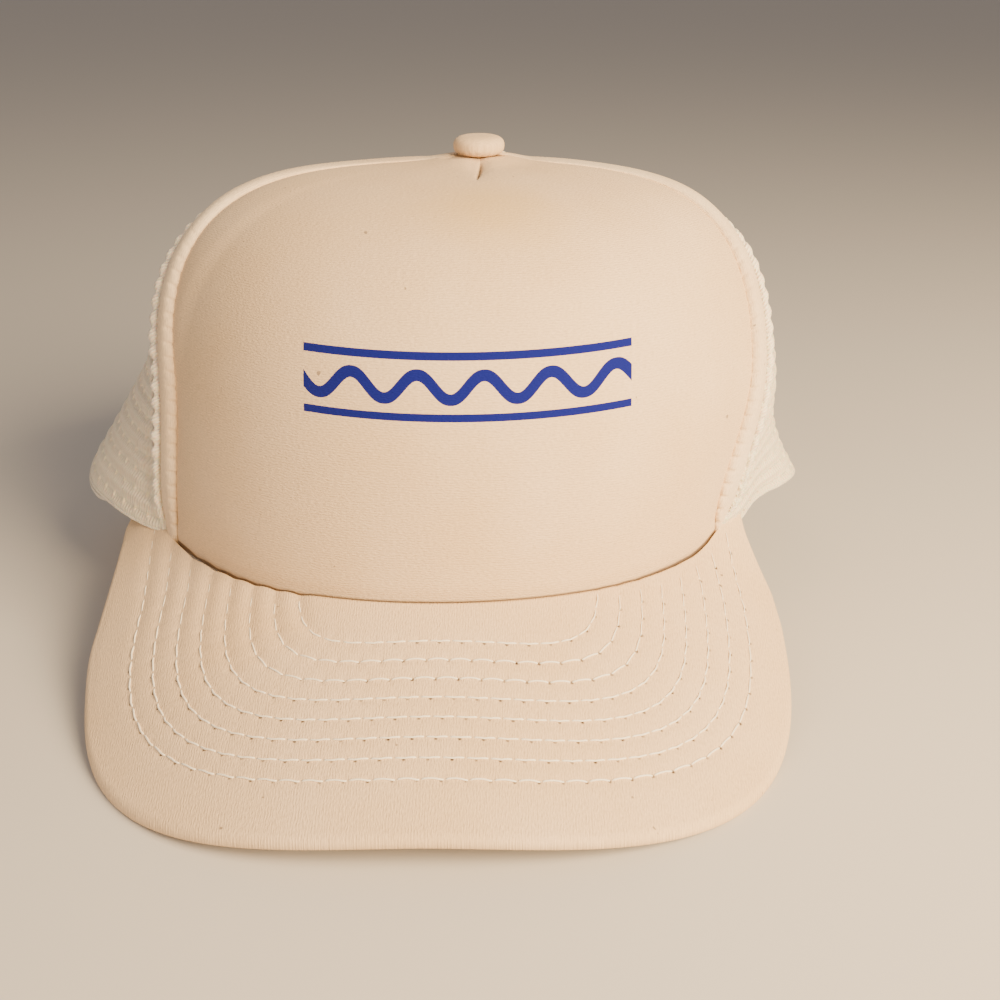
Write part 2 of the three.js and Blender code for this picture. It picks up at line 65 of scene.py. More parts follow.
# A row for each azimuth: azimuth in degrees, then the radius of the wall and of the rim, the rim's
# height, the exponent of the wall's profile, and the height in which the rim spreads
SECTIONS = np.array([
    (-180, 80, 79, 2, 2.4, 20),
    (-150, 84, 87, 5, 2.5, 20),
    (-122, 91, 102, 20, 2.9, 20),
    (-96, 96, 113, 34, 3.3, 19),
    (-84, 96, 111.5, 34.5, 3.5, 19),
    (-72, 95, 103.5, 34.5, 3.6, 18),
    (-62, 93, 96, 33.6, 3.6, 16),
    (-56, 91.6, 91.6, 33.8, 3.5, 16),
    (-28, 91.6, 91.6, 34.3, 3.1, 16),
    (0, 91.6, 91.6, 35.8, 2.9, 16),
    (28, 91.6, 91.6, 34.3, 2.9, 14),
    (56, 91.6, 91.6, 33.8, 3.0, 14),
    (62, 93, 94, 33.6, 3.02, 14),
    (72, 94.5, 96.5, 35.5, 3.06, 13),
    (84, 95.5, 107, 35.6, 3.06, 12),
    (96, 95.5, 106.5, 32, 3.03, 12),
    (122, 91, 100, 19, 2.9, 18),
    (150, 84, 87, 5, 2.5, 20),
]) * (1, MM, MM, MM, 1, MM)
WALL, RIM, RIM_HEIGHT, FULLNESS, FLARE = 1, 2, 3, 4, 5

SEAM_RADIUS = 91.6 * MM
TOP_HEIGHT = 129.6 * MM
TOP_HOLE_RADIUS = 4.6 * MM
SIDE_SHIFT = 5.5 * MM
TOP_SHIFT = 4.2 * MM
ROW_SPACING = 1.5
GAP = 0.3 * MM
ARCH_FOOT = {-1: 54.3, 1: 56.0}
ARCH_TOP, ARCH_BEND = 88, 1.6
REAR_SIDE, REAR = 128, 180
NARROWEST_PANEL = 3

BAND_WIDTH = 6.4 * MM
BAND_WIDEST_TURN = 30
BAND_FOOT = {-1: 0.8, 1: 0.2}
BAND_SWELL = {-1: 1.1 * MM, 1: 0.0}

ROLL_HEIGHT = {-1: 1.0 * MM, 1: 1.7 * MM}
ROLL_PLACE = {-1: 1.8 * MM, 1: 2.5 * MM}
EDGE_SIZE = {-1: 1.0, 1: 0.55}

OPENING_HALF_WIDTH = 48 * MM
OPENING_HEIGHT = 56 * MM
TAPE_WIDTH = 7 * MM

PEAK_CENTRE_Y = -72 * MM
PEAK_HALF_WIDTH = 92 * MM
PEAK_FRONT_DEPTH = 81 * MM
PEAK_REAR_DEPTH = 130 * MM
PEAK_SQUARENESS = 2.55
PEAK_SKEW = 0.1
PEAK_SEAM_HEIGHT = 35.4 * MM
PEAK_SLOPE = 0.38
PEAK_ARCH = 3.0  # per metre
PEAK_INNER = SEAM_RADIUS + 1.5 * GAP

# Azimuths between which the peak narrows to its tips, on each side, the tips' width and thickness,
# how far they climb the crown and how far the last of them drops behind it
PEAK_TIP_START = {-1: 68, 1: 55}
PEAK_TIP_END = {-1: 75, 1: 67}
TIP_WIDTH = 1.6 * MM
TIP_THICKNESS = 1.4 * MM
TIP_CLIMB = {-1: 1.6 * MM, 1: 3.4 * MM}
TIP_DROP = 3 * MM
# Azimuth and height of the bumps in the peak's outline, which are this many degrees wide
PEAK_BUMPS = ((-50, 2 * MM), (-64, -1 * MM))
BUMP_WIDTH = 5

# Half width, reach to the front and offset to +X, in millimetres, and squareness of the peak's
# innermost and outermost rows of stitches
INNER_ROW = np.array([38.5, 31, 2.5, 4])
OUTER_ROW = np.array([80.7, 67, 0.5, 2.7])

# Needle holes lie this far from the row's middle, where the bowed threads end
HOLE_OFFSET = 0.14 * MM

# How far the front and the bands reach down behind the peak, below the crown's rim
TUCK = 2.4 * MM
CREASE_OFFSET, CREASE_SLANT, CREASE_MIDDLE = 0.6 * MM, 0.04, 9 * MM
STAIN_PLACE = np.array([15, -50, 125]) * MM
STAIN_SIZE = (22 * MM, 24 * MM, 14 * MM)
RIB_SPACING = 0.9 * MM
FLOOR_WIDTH = 12.0

# The net's gaps are shut up to a height, less far beside the band
SHUT_HEIGHT = 34 * MM
SHUT_LESS = 10 * MM
# Exponent of a gap's outline: 1 would make it an ellipse, and less makes it squarer
GAP_ROUNDNESS = 0.6

BUTTON_HEIGHT = 5.6 * MM

# Added to the cloth coordinates of the front panel's inside, so that its print stays outside
INSIDE_UV = np.array([1.0, 0.0])
# Added to the coordinates along a net panel's turned edge, whose yarns get a painted highlight,
# with painted shade between their beads
EDGE_UV = 2.0


def frame_origin():
    """Where the crown's axis meets the table it is measured from, read off the button's box."""
    low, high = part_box("top_button")
    return np.array([
        (low.x + high.x) / 2 - SIDE_SHIFT - TOP_SHIFT,
        (low.y + high.y) / 2,
        high.z - BUTTON_HEIGHT - GAP - TOP_HEIGHT,
    ])


ORIGIN = frame_origin()


def linear(hex_colour):
    """Linear RGBA of an sRGB hex colour."""
    channels = [int(hex_colour[index:index + 2], 16) / 255 for index in (1, 3, 5)]
    return [c / 12.92 if c <= 0.04045 else ((c + 0.055) / 1.055) ** 2.4 for c in channels] + [1.0]


def smooth_step(value):
    """0 below 0, 1 above 1, and an S-shaped cubic between."""
    clamped = np.clip(value, 0, 1)
    return clamped * clamped * (3 - 2 * clamped)


def ramp(value, start, length):
    """S-shaped step from 0 to 1 that begins at a start and takes a length, both in millimetres."""
    return smooth_step((value - start * MM) / (length * MM))


def turn_ramp(azimuth, start, length):
    """S-shaped step from 0 to 1 on both sides of the front, its start and length in degrees."""
    return smooth_step((np.abs(azimuth) - start) / length)


def unit(vectors):
    """Vectors brought to a length of one."""
    return vectors / np.linalg.norm(vectors, axis=-1, keepdims=True)


def signed_power(value, power):
    """A value's size to a power, with its sign kept."""
    return np.sign(value) * np.abs(value) ** power


def section(column, azimuth):
    """One column of the section table at each azimuth: a periodic cubic through its rows, whose
    slope at a row is that of the line between the row's two neighbours."""
    count = len(SECTIONS)
    turned = (np.asarray(azimuth, float) + 180) % 360 - 180
    index = np.searchsorted(SECTIONS[:, 0], turned, side="right") - 1

    def row(step):
        wrapped = (index + step) % count
        return SECTIONS[wrapped, 0] + 360 * ((index + step) // count), SECTIONS[wrapped, column]

    (x0, y0), (x1, y1), (x2, y2), (x3, y3) = row(-1), row(0), row(1), row(2)
    span = x2 - x1
    t = (turned - x1) / span
    start_slope = (y2 - y0) / (x2 - x0)
    end_slope = (y3 - y1) / (x3 - x1)
    return ((2 * t ** 3 - 3 * t ** 2 + 1) * y1 + (t ** 3 - 2 * t ** 2 + t) * span * start_slope
            + (3 * t ** 2 - 2 * t ** 3) * y2 + (t ** 3 - t ** 2) * span * end_slope)


def crown_climb(azimuth, share):
    """Share of the full height at a share of the way up: a sine to the power 2 / fullness."""
    angle = np.pi / 2 * np.clip(share, 0, 1) ** ROW_SPACING
    return np.sin(angle) ** (2 / section(FULLNESS, azimuth))


def crown_rise(azimuth, share):
    """Height above the rim."""
    return (TOP_HEIGHT - section(RIM_HEIGHT, azimuth)) * crown_climb(azimuth, share)


def crown_radius(azimuth, share):
    """Distance of the wall from the axis: a superellipse from the wall's radius to nothing, plus a
    flare that spreads in a nearly straight line to the rim, with a soft bend at its top."""
    angle = np.pi / 2 * np.clip(share, 0, 1) ** ROW_SPACING
    wall = section(WALL, azimuth)
    rise = crown_rise(azimuth, share)
    slope = 1 - rise / (2 * section(FLARE, azimuth))
    spread = ((slope + np.sqrt(slope ** 2 + 0.03)) / (1 + math.sqrt(1.03))) ** 1.4
    shrink = np.clip(np.cos(angle), 0, 1) ** (2 / section(FULLNESS, azimuth))
    return wall * shrink + (section(RIM, azimuth) - wall) * spread


def dart_depth(x, radius):
    """Depth of the pinched dart: a wide bell across it with a narrow, slightly slanted crease."""
    dart = bpy.context.scene.cap_front
    opening = ramp(radius, 3, 4)
    closing = 1 - ramp(radius, 9, 22)
    wide = dart.dart_depth * np.exp(-(x / (2.6 * MM)) ** 2)
    along = ramp(radius, 7, 4) * (1 - ramp(radius, 19, 9))
    from_crease = x - CREASE_OFFSET + CREASE_SLANT * (radius - CREASE_MIDDLE)
    crease = dart.crease_depth * np.exp(-np.abs(from_crease / (0.45 * MM)) ** 1.3) * along
    return wide * opening * closing + crease


def top_sag(radius):
    """How far the cloth sags between the shoulders and the button, where it rises again."""
    shoulder = smooth_step((75 * MM - radius) / (45 * MM))
    return 1.3 * MM * shoulder - 1.3 * MM * smooth_step((16 * MM - radius) / (10 * MM))


def crown_surface(azimuth, share):
    """Outer surface of the crown in metres from the axis: radius round the axis at each azimuth,
    leaning to +X with height, less the dart in the front."""
    radius = crown_radius(azimuth, share)
    climb = crown_climb(azimuth, share)
    rim_height = section(RIM_HEIGHT, azimuth)
    shift = SIDE_SHIFT * smooth_step(climb / 0.5) + TOP_SHIFT * climb ** 4
    turn = np.radians(azimuth)
    x = radius * np.sin(turn)
    y = -radius * np.cos(turn)
    dart = np.where(y < 0, dart_depth(x, radius), 0)
    height = rim_height + (TOP_HEIGHT - rim_height) * climb - dart - top_sag(radius)
    return np.stack([x + shift, y, height], -1)


def inward(azimuth, share):
    """Unit normal into the crown: the cross product of its slopes up and across."""
    step = 0.004
    above, below = np.clip(share + step, 0, 1), np.clip(share - step, 0, 1)
    up = crown_surface(azimuth, above) - crown_surface(azimuth, below)
    across = crown_surface(azimuth + 0.5, share) - crown_surface(azimuth - 0.5, share)
    return unit(np.cross(up, across))


def crown_point(azimuth, share, inset):
    """Point of the crown moved inwards, square to its surface, in the frame."""
    azimuth, share, inset = np.broadcast_arrays(azimuth, share, inset)
    return crown_surface(azimuth, share) + inward(azimuth, share) * inset[..., None] + ORIGIN


def share_at_rise(azimuth, rise):
    """Share of the way up at which the crown is a given height above its rim."""
    climb = np.clip(rise / (TOP_HEIGHT - section(RIM_HEIGHT, azimuth)), 0, 1)
    return (np.arcsin(climb ** (section(FULLNESS, azimuth) / 2)) / (np.pi / 2)) ** (1 / ROW_SPACING)


def top_share():
    """Share of the way up at which the panels end, under the button, at the side."""
    shares = np.linspace(0.5, 1, 4000)
    radii = crown_radius(np.full_like(shares, 90), shares)
    return float(np.interp(-TOP_HOLE_RADIUS, -radii, shares))


TOP_SHARE = top_share()


def arch_azimuth(share, side):
    """Azimuth of the arch seam between the front panel and the band, on the -X or the +X side."""
    return ARCH_FOOT[side] + (ARCH_TOP - ARCH_FOOT[side]) * np.clip(share, 0, 1) ** ARCH_BEND


def turn_for(length, azimuth, share):
    """Degrees that a length takes along the crown."""
    return np.degrees(length / np.maximum(crown_radius(azimuth, share), MM))


def band_edge(share, side):
    """Azimuth of the band's rear edge: it tapers to the foot, on the +X side almost to a point, and
    on the -X side it is widest half-way up."""
    seam = arch_azimuth(share, side)
    rise = crown_rise(side * seam, share)
    foot = BAND_FOOT[side] + (1 - BAND_FOOT[side]) * ramp(rise, 0, 11)
    swell = ramp(rise, 30, 30) * ramp(crown_radius(side * seam, share), 50, 30)
    width = BAND_WIDTH * foot + BAND_SWELL[side] * swell
    return seam + np.minimum(turn_for(width, seam, share), BAND_WIDEST_TURN)


def opening_point(angle, margin):
    """Azimuth and share on the half-moon round the rear opening: an ellipse, grown by a margin."""
    azimuth = REAR - np.degrees((OPENING_HALF_WIDTH + margin) * np.cos(angle) / section(RIM, REAR))
    return azimuth, share_at_rise(azimuth, (OPENING_HEIGHT + margin) * np.sin(angle))


def path_lengths(points):
    """Distance along a path up to each of its points."""
    steps = np.linalg.norm(np.diff(points, axis=0), axis=-1)
    return np.concatenate([[0], np.cumsum(steps)])


def values_along(at, lengths, values):
    """Values given at a path's lengths, read at other lengths, column by column."""
    columns = [np.interp(at, lengths, values[:, axis]) for axis in range(values.shape[1])]
    return np.stack(columns, -1)


def even_parameter(points, parameter, spacing):
    """Values of the parameter at even distances along a path, about a spacing apart."""
    lengths = path_lengths(points)
    count = max(int(round(lengths[-1] / spacing)), 2)
    return np.interp(np.linspace(0, lengths[-1], count + 1), lengths, parameter)


def ripple(u, v, seed):
    """Soft undulation from -1 to 1: four sine waves of unlike lengths and directions."""
    source = np.random.default_rng(seed)
    total = np.zeros(np.broadcast(u, v).shape)
    for _ in range(4):
        angle, phase = source.uniform(0, np.pi), source.uniform(0, 2 * np.pi)
        length = source.uniform(0.6, 1.6)
        total += np.sin((u * np.cos(angle) + v * np.sin(angle)) / length + phase)
    return total / 4


def grid_quads(rows, columns, close_rows=False, close_columns=False):
    """Corner indices of the quads of a grid of points, row by row."""
    row = np.arange(rows if close_rows else rows - 1)[:, None]
    column = np.arange(columns if close_columns else columns - 1)[None, :]
    next_row = (row + 1) % rows
    next_column = (column + 1) % columns
    corners = [row * columns + column, row * columns + next_column,
               next_row * columns + next_column, next_row * columns + column]
    return np.stack(np.broadcast_arrays(*corners), -1).reshape(-1, 4)


def capped(rings):
    """Points and faces of a bar: closed rings in order, with one flat face over each end."""
    count, size = rings.shape[:2]
    first, last = ([list(range(start, start + size))] for start in (0, (count - 1) * size))
    return rings.reshape(-1, 3), grid_quads(count, size, close_columns=True), first, last


def shell(outer, inner):
    """Points and quads of a closed wall between an outer and an inner grid."""
    rows, columns = outer.shape[:2]
    size = rows * columns
    points = np.concatenate([outer.reshape(-1, 3), inner.reshape(-1, 3)])
    faces = grid_quads(rows, columns)
    index = np.arange(size).reshape(rows, columns)
    edge = np.concatenate([index[0, :-1], index[:-1, -1], index[-1, :0:-1], index[:0:-1, 0]])
    following = np.roll(edge, -1)
    sides = np.stack([following, edge, edge + size, following + size], -1)
    return points, np.concatenate([faces, faces[:, ::-1] + size, sides])


def ring_arms(along, normals, sides):
    """Unit spokes round each point of a path, square to it, the first square to its normal too."""
    across = unit(np.cross(along, normals))
    upward = np.cross(across, along)
    turn = np.linspace(0, 2 * np.pi, sides, endpoint=False)[:, None]
    return across[..., None, :] * np.cos(turn) + upward[..., None, :] * np.sin(turn)


def tubes(centres, normals, radii, sides):
    """Points and faces of many closed tubes: rings of a given radius round each path, square to
    it, with a pole at each end. centres and normals are (tubes, rings, 3), radii (tubes, rings)."""
    count, rings = centres.shape[:2]
    arms = ring_arms(unit(np.gradient(centres, axis=1)), normals, sides)
    points = centres[:, :, None] + arms * radii[:, :, None, None]
    body = grid_quads(rings, sides, close_columns=True)
    poles = rings * sides
    side = np.arange(sides)
    following = (side + 1) % sides
    start = np.stack([np.full(sides, poles), following, side], -1)
    last = (rings - 1) * sides
    end = np.stack([np.full(sides, poles + 1), last + side, last + following], -1)
    points = points.reshape(count, -1, 3)
    points = np.concatenate([points, centres[:, :1], centres[:, -1:]], axis=1)
    shift = (np.arange(count) * (poles + 2))[:, None, None]
    quads = (body[None] + shift).reshape(-1, 4)
    triangles = np.concatenate([start[None] + shift, end[None] + shift]).reshape(-1, 3)
    return points.reshape(-1, 3), quads, triangles


def closed_tube(centres, normals, radii, sides):
    """Points and quads of a tube that closes on itself, round a loop of centres."""
    along = unit(np.roll(centres, -1, axis=0) - np.roll(centres, 1, axis=0))
    arms = ring_arms(along, normals, sides)
    points = centres[:, None] + arms * radii[:, None, None]
    quads = grid_quads(len(centres), sides, close_rows=True, close_columns=True)
    return points.reshape(-1, 3), quads


def add_uv_map(piece, name, uvs):
    """Gives a piece a UV map from values on its points."""
    mesh = piece.data
    layer = mesh.uv_layers.new(name=name)
    corner = np.zeros(len(mesh.loops), np.int32)
    mesh.loops.foreach_get("vertex_index", corner)
    layer.data.foreach_set("uv", np.asarray(uvs, np.float32)[corner].ravel())


def make_piece(name, parts, material, uvs=None, weld=0.0):
    """One object from parts of (points, faces, faces, ...), with faces pointing outwards, smooth
    shading, a material and, where given, a UV map from values on its points."""
    points = np.concatenate([part[0] for part in parts])
    starts = np.cumsum([0] + [len(part[0]) for part in parts[:-1]])
    faces = []
    for part, start in zip(parts, starts):
        for block in part[1:]:
            faces.extend((np.asarray(block) + start).tolist())
    mesh = bpy.data.meshes.new(name)
    mesh.from_pydata(points, [], faces)
    mesh.update()
    piece = bpy.data.objects.new(name, mesh)
    bpy.context.scene.collection.objects.link(piece)
    if uvs is not None:
        add_uv_map(piece, "Pattern", uvs)
    work = bmesh.new()
    work.from_mesh(mesh)
    if weld:
        bmesh.ops.remove_doubles(work, verts=work.verts, dist=weld)
        loose = [vertex for vertex in work.verts if not vertex.link_faces]
        bmesh.ops.delete(work, geom=loose, context="VERTS")
    bmesh.ops.recalc_face_normals(work, faces=work.faces)
    work.to_mesh(mesh)
    work.free()
    mesh.shade_smooth()
    mesh.materials.append(material)
    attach(piece, "root")
    return piece


def stitch_tubes(points, normals, pitch, radius, lift, gap, sink, sides=6):
    """A row of sewn stitches along a path: each is a thread that rises out of its needle hole,
    lies along the cloth on a flat arc and goes down into the next."""
    lengths = path_lengths(points)
    count = int(lengths[-1] / pitch)
    start = (lengths[-1] - count * pitch) / 2
    rings = np.array([0.0, 0.04, 0.14, 0.32, 0.5, 0.68, 0.86, 0.96, 1.0])
    ends = np.array([0.55, 0.9, 1, 1, 1, 1, 1, 0.9, 0.55])
    part = gap / pitch + rings[None, :] * (1 - 2 * gap / pitch)
    at = start + (np.arange(count)[:, None] + part) * pitch
    centre = values_along(at, lengths, points)
    normal = unit(values_along(at, lengths, normals))
    arc = np.sin(np.pi * rings) ** 0.35
    height = -sink + (sink + lift) * arc
    girth = np.interp(at, lengths, np.broadcast_to(radius, len(points))) * ends
    centre = centre + normal * height[None, :, None]
    return tubes(centre, normal, girth, sides)


def set_inputs(node, inputs):
    """Sets a node's inputs, by name or number, to constants or to other nodes' outputs."""
    for key, value in inputs.items():
        if isinstance(value, bpy.types.NodeSocket):
            node.id_data.links.new(value, node.inputs[key])
        else:
            node.inputs[key].default_value = value


def add_node(tree, kind, *inputs, output=0, **settings):
    """One output of a new shader node, or all of them for None. A colon in the kind leads to its
    operation. The inputs stand in order, or by name or number in one dictionary."""
    kind, _, operation = kind.partition(":")
    node = tree.nodes.new("ShaderNode" + kind)
    if operation:
        node.operation = operation
    for name, value in settings.items():
        setattr(node, name, value)
    by_name = inputs and isinstance(inputs[0], dict)
    set_inputs(node, inputs[0] if by_name else dict(enumerate(inputs)))
    return node.outputs if output is None else node.outputs[output]


def new_material(name):
    """A node material; returns it, the function that adds nodes to it, and its shader."""
    material = bpy.data.materials.new(name)
    material.use_nodes = True
    tree = material.node_tree
    return material, partial(add_node, tree), tree.nodes["Principled BSDF"]


def object_axes(add):
    """Object coordinates and their three separate axes."""
    coordinates = add("TexCoord", output="Object")
    return coordinates, add("SeparateXYZ", coordinates, output=None)


def cloth_axes(add, name="Pattern"):
    """A UV map of the piece and its separate axes."""
    uv = add("UVMap", uv_map=name)
    return uv, add("SeparateXYZ", uv, output=None)


def tinted(add, colour, layers):
    """A colour with layers of (mask, strength, hex colour) laid over it in order."""
    for mask, strength, tint in layers:
        factor = add("Math:MULTIPLY", mask, strength)
        colour = add("Mix", {0: factor, 6: colour, 7: linear(tint)}, output=2, data_type="RGBA")
    return colour


def weave_height(add, spacing):
    """Height of a plain weave, about 0 to 1, on the piece's UV map in metres: slubby threads that
    show as short dashes along U in soft rows, drawn about twice as coarse as real so that they
    show."""
    uv, axes = cloth_axes(add)
    slub = add("Mapping", {"Vector": uv, "Scale": (0.62 / spacing, 2.1 / spacing, 1.0)})
    dashes = add("TexNoise", {"Vector": slub, "Scale": 1.0, "Detail": 2.0})
    drift = add("TexNoise", {"Vector": uv, "Scale": 0.25 / spacing, "Detail": 1.0})
    turn = 2 * math.pi / spacing
    phase = add("Math:MULTIPLY_ADD", axes[1], turn, add("Math:MULTIPLY", drift, 9.0))
    return add("Math:MULTIPLY_ADD", add("Math:SINE", phase), 0.07, dashes)


def stain_mask(add, coordinates, centre, size):
    """Soft round patch on Object coordinates, its edge broken up by noise."""
    noise = add("TexNoise", {"Vector": coordinates, "Scale": 60.0, "Detail": 3.0})
    moved = add("Mapping", {
        "Vector": coordinates,
        "Location": [-c / s for c, s in zip(centre, size)],
        "Scale": [1 / s for s in size],
    })
    distance = add("VectorMath:LENGTH", moved, output="Value")
    uneven = add("Math:ADD", distance, add("Math:MULTIPLY", noise, 0.7))
    return add("MapRange", uneven, 1.35, 0.6)


def woven_polyester(name, with_print=False, with_needle_hole_shade=False, painted_highlight=False):
    """Plain-woven polyester, laminated to foam: matt and slightly yellowed with age, its weave just
    shows, with a faint sheen at grazing angles and a few caught specks of lint."""
    colours = bpy.context.scene.cap_colours
    material, add, shader = new_material(name)
    coordinates, axes = object_axes(add)
    mottle = add("TexNoise", {"Vector": coordinates, "Scale": 28.0, "Detail": 4.0})
    # The band's colour is a painted highlight: a lighter copy of the same cloth, where it puffs up
    # and catches light
    fresh, aged = (colours.band, colours.cloth) if painted_highlight else (colours.cloth, colours.cloth_aged)
    colour = tinted(add, linear(fresh), [(add("MapRange", mottle, 0.3, 0.7), 1.0, aged)])
    grain = add("TexNoise", {"Vector": coordinates, "Scale": 1500.0, "Detail": 1.0})
    weave = weave_height(add, bpy.context.scene.cap_front.thread_spacing)
    shade = add("Math:MULTIPLY", add("Math:MULTIPLY_ADD", grain, 0.12, 0.94),
                add("Math:MULTIPLY_ADD", weave, 0.5, 0.75))
    grey = add("CombineColor", shade, shade, shade)
    colour = add("Mix", {0: 1.0, 6: colour, 7: grey}, output=2, data_type="RGBA",
                 blend_type="MULTIPLY")
    specks = add("TexNoise", {"Vector": coordinates, "Scale": 420.0, "Detail": 1.0})
    layers = [(add("MapRange", specks, 0.80, 0.82), 0.6, colours.lint)]
    if with_print:
        stain = stain_mask(add, coordinates, ORIGIN + STAIN_PLACE, STAIN_SIZE)
        layers = [
            (stain, 0.6, colours.stain),
            # Painted shade along the bottom of the dart's crease
            (crease_shade_mask(add, axes), 0.55, colours.fold),
            # Painted shade on the thin strip where the panel dips behind the peak, in the needle
            # holes' colour
            (hem_shade_mask(add), 0.7, colours.hole),
            (print_mask(add, axes), 1.0, colours.ink),
            *layers,
        ]
    if with_needle_hole_shade:
        # Painted shade in the needle holes
        layers.append((needle_hole_shade_mask(add), 1.0, colours.hole))
    height = add("Math:MULTIPLY_ADD", grain, 0.3, weave)
    set_inputs(shader, {
        "Base Color": tinted(add, colour, layers),
        "Roughness": 0.85,
        "Specular IOR Level": 0.3,
        "Sheen Weight": 0.08,
        "Sheen Roughness": 0.5,
        "Normal": add("Bump", {"Height": height, "Strength": 0.6, "Distance": 0.3 * MM}),
    })
    return material


def crease_shade_mask(add, axes):
    """Mask of the painted shade along the bottom of the dart's crease, slanted as the crease is."""
    x = add("Math:SUBTRACT", axes[0], float(ORIGIN[0]) + SIDE_SHIFT + TOP_SHIFT + CREASE_OFFSET)
    mirrored = add("Math:MULTIPLY", axes[1], -1.0)
    forward = add("Math:SUBTRACT", mirrored, CREASE_MIDDLE - float(ORIGIN[1]))
    from_line = add("Math:ABSOLUTE", add("Math:MULTIPLY_ADD", forward, CREASE_SLANT, x))
    line = add("MapRange", from_line, 0.5 * MM, 0.15 * MM)
    past_start = add("MapRange", forward, -1 * MM, 2 * MM)
    before_end = add("MapRange", forward, 18 * MM, 15 * MM)
    return add("Math:MULTIPLY", line, add("Math:MULTIPLY", past_start, before_end))


def hem_shade_mask(add):
    """Mask of the painted shade on the thin strip just above the peak's top, where the panel dips
    behind it, on a UV map that gives the height over the peak."""
    _, axes = cloth_axes(add, "Hem")
    return add("MapRange", axes[0], 0.2 * MM, -0.1 * MM)


def print_mask(add, axes):
    """Mask of the printed ornament on the front: two straight bars with a wave line between, whose
    width is measured square to its slope."""
    motif = bpy.context.scene.cap_print
    x = add("Math:SUBTRACT", axes[0], float(ORIGIN[0]) + motif.centre_x)
    z = add("Math:SUBTRACT", axes[2], float(ORIGIN[2]) + motif.centre_z)
    inside = add("Math:LESS_THAN", add("Math:ABSOLUTE", x), motif.width / 2)
    turn = 2 * math.pi * motif.waves / motif.width
    phase = add("Math:MULTIPLY", x, turn)
    wave = add("Math:MULTIPLY", add("Math:SINE", phase), motif.wave_height)
    from_wave = add("Math:ABSOLUTE", add("Math:SUBTRACT", z, wave))
    slope = add("Math:MULTIPLY", add("Math:COSINE", phase), turn * motif.wave_height)
    stretch = add("Math:SQRT", add("Math:MULTIPLY_ADD", slope, slope, 1.0))
    on_wave = add("Math:LESS_THAN", add("Math:DIVIDE", from_wave, stretch), motif.wave_line / 2)
    from_bar = add("Math:ABSOLUTE", add("Math:SUBTRACT", add("Math:ABSOLUTE", z), motif.bar_height))
    on_bar = add("Math:LESS_THAN", from_bar, motif.bar_line / 2)
    drawn = add("Math:MULTIPLY", add("Math:MAXIMUM", on_wave, on_bar), inside)
    outside = add("Math:LESS_THAN", cloth_axes(add)[1][0], float(INSIDE_UV[0]) / 2)
    return add("Math:MULTIPLY", drawn, outside)


def needle_hole_shade_mask(add):
    """Mask of the painted shade in the needle holes, on a UV map that counts stitches along its
    first axis and gives the distance from the seam along its second."""
    thread = bpy.context.scene.cap_thread
    _, axes = cloth_axes(add, "Stitching")
    part = add("Math:SUBTRACT", add("Math:FRACT", add("Math:ADD", axes[0], 0.5)), 0.5)
    along = add("Math:MULTIPLY", part, thread.peak_pitch)
    away = add("Math:SUBTRACT", axes[1], HOLE_OFFSET)
    square = add("Math:MULTIPLY_ADD", along, along, add("Math:MULTIPLY", away, away))
    distance = add("Math:SQRT", square)
    edge = add("MapRange", distance, thread.hole_radius * 1.3, thread.hole_radius * 0.5)
    number = add("Math:ROUND", axes[0])
    chance = add("TexWhiteNoise", {"W": number}, output="Value", noise_dimensions="1D")
    return add("Math:MULTIPLY", edge, add("MapRange", chance, 0.0, 1.0, 0.55, 1.0))


def knitted_nylon():
    """Warp-knitted nylon net: chains of small loops in faint courses, a little shiny and slightly
    see-through, with a painted highlight on the turned edge and painted shade in the gaps between
    its beads."""
    colours = bpy.context.scene.cap_colours
    net = bpy.context.scene.cap_net
    material, add, shader = new_material("Warp-knitted nylon net")
    coordinates, _ = object_axes(add)
    _, axes = cloth_axes(add)
    loops = add("Math:SINE", add("Math:MULTIPLY", axes[0], 2 * math.pi / net.loop_pitch))
    courses = add("Math:SINE", add("Math:MULTIPLY", axes[1], 4 * math.pi / net.row_height))
    noise = add("TexNoise", {"Vector": coordinates, "Scale": 900.0, "Detail": 2.0})
    shade = add("Math:MULTIPLY_ADD", courses, 0.25, add("Math:MULTIPLY_ADD", loops, 0.25, noise))
    raised = add("MapRange", shade, 0.0, 1.0)
    on_edge = add("Math:GREATER_THAN", axes[0], EDGE_UV / 2)
    colour = tinted(add, linear(colours.net_shade), [
        (raised, 1.0, colours.net),
        # Painted highlight on the raised yarns of the turned edge
        (raised, on_edge, colours.net_edge_highlight),
        # Painted shade in the gaps between the edge's beads
        (axes[1], on_edge, colours.net_gap_shade),
    ])
    set_inputs(shader, {
        "Base Color": colour,
        "Roughness": 0.5,
        "Sheen Weight": 0.2,
        "Subsurface Weight": 0.15,
        "Subsurface Scale": 1.0 * MM,
        "Normal": add("Bump", {"Height": shade, "Strength": 0.8, "Distance": 0.4 * MM}),
    })
    return material


def twill_tape(name):
    """Cotton twill tape: matt, with fine slanted ribs."""
    colours = bpy.context.scene.cap_colours
    material, add, shader = new_material(name)
    coordinates, _ = object_axes(add)
    _, axes = cloth_axes(add)
    slanted = add("Math:ADD", axes[0], axes[1])
    ribs = add("Math:SINE", add("Math:MULTIPLY", slanted, 2 * math.pi / RIB_SPACING))
    noise = add("TexNoise", {"Vector": coordinates, "Scale": 700.0, "Detail": 3.0})
    height = add("Math:MULTIPLY_ADD", ribs, 0.4, noise)
    raised = add("MapRange", height, 0.0, 1.0)
    set_inputs(shader, {
        "Base Color": tinted(add, linear(colours.tape_shade), [(raised, 1.0, colours.tape)]),
        "Roughness": 0.9,
        "Sheen Weight": 0.2,
        "Normal": add("Bump", {"Height": height, "Strength": 0.5, "Distance": 0.2 * MM}),
    })
    return material


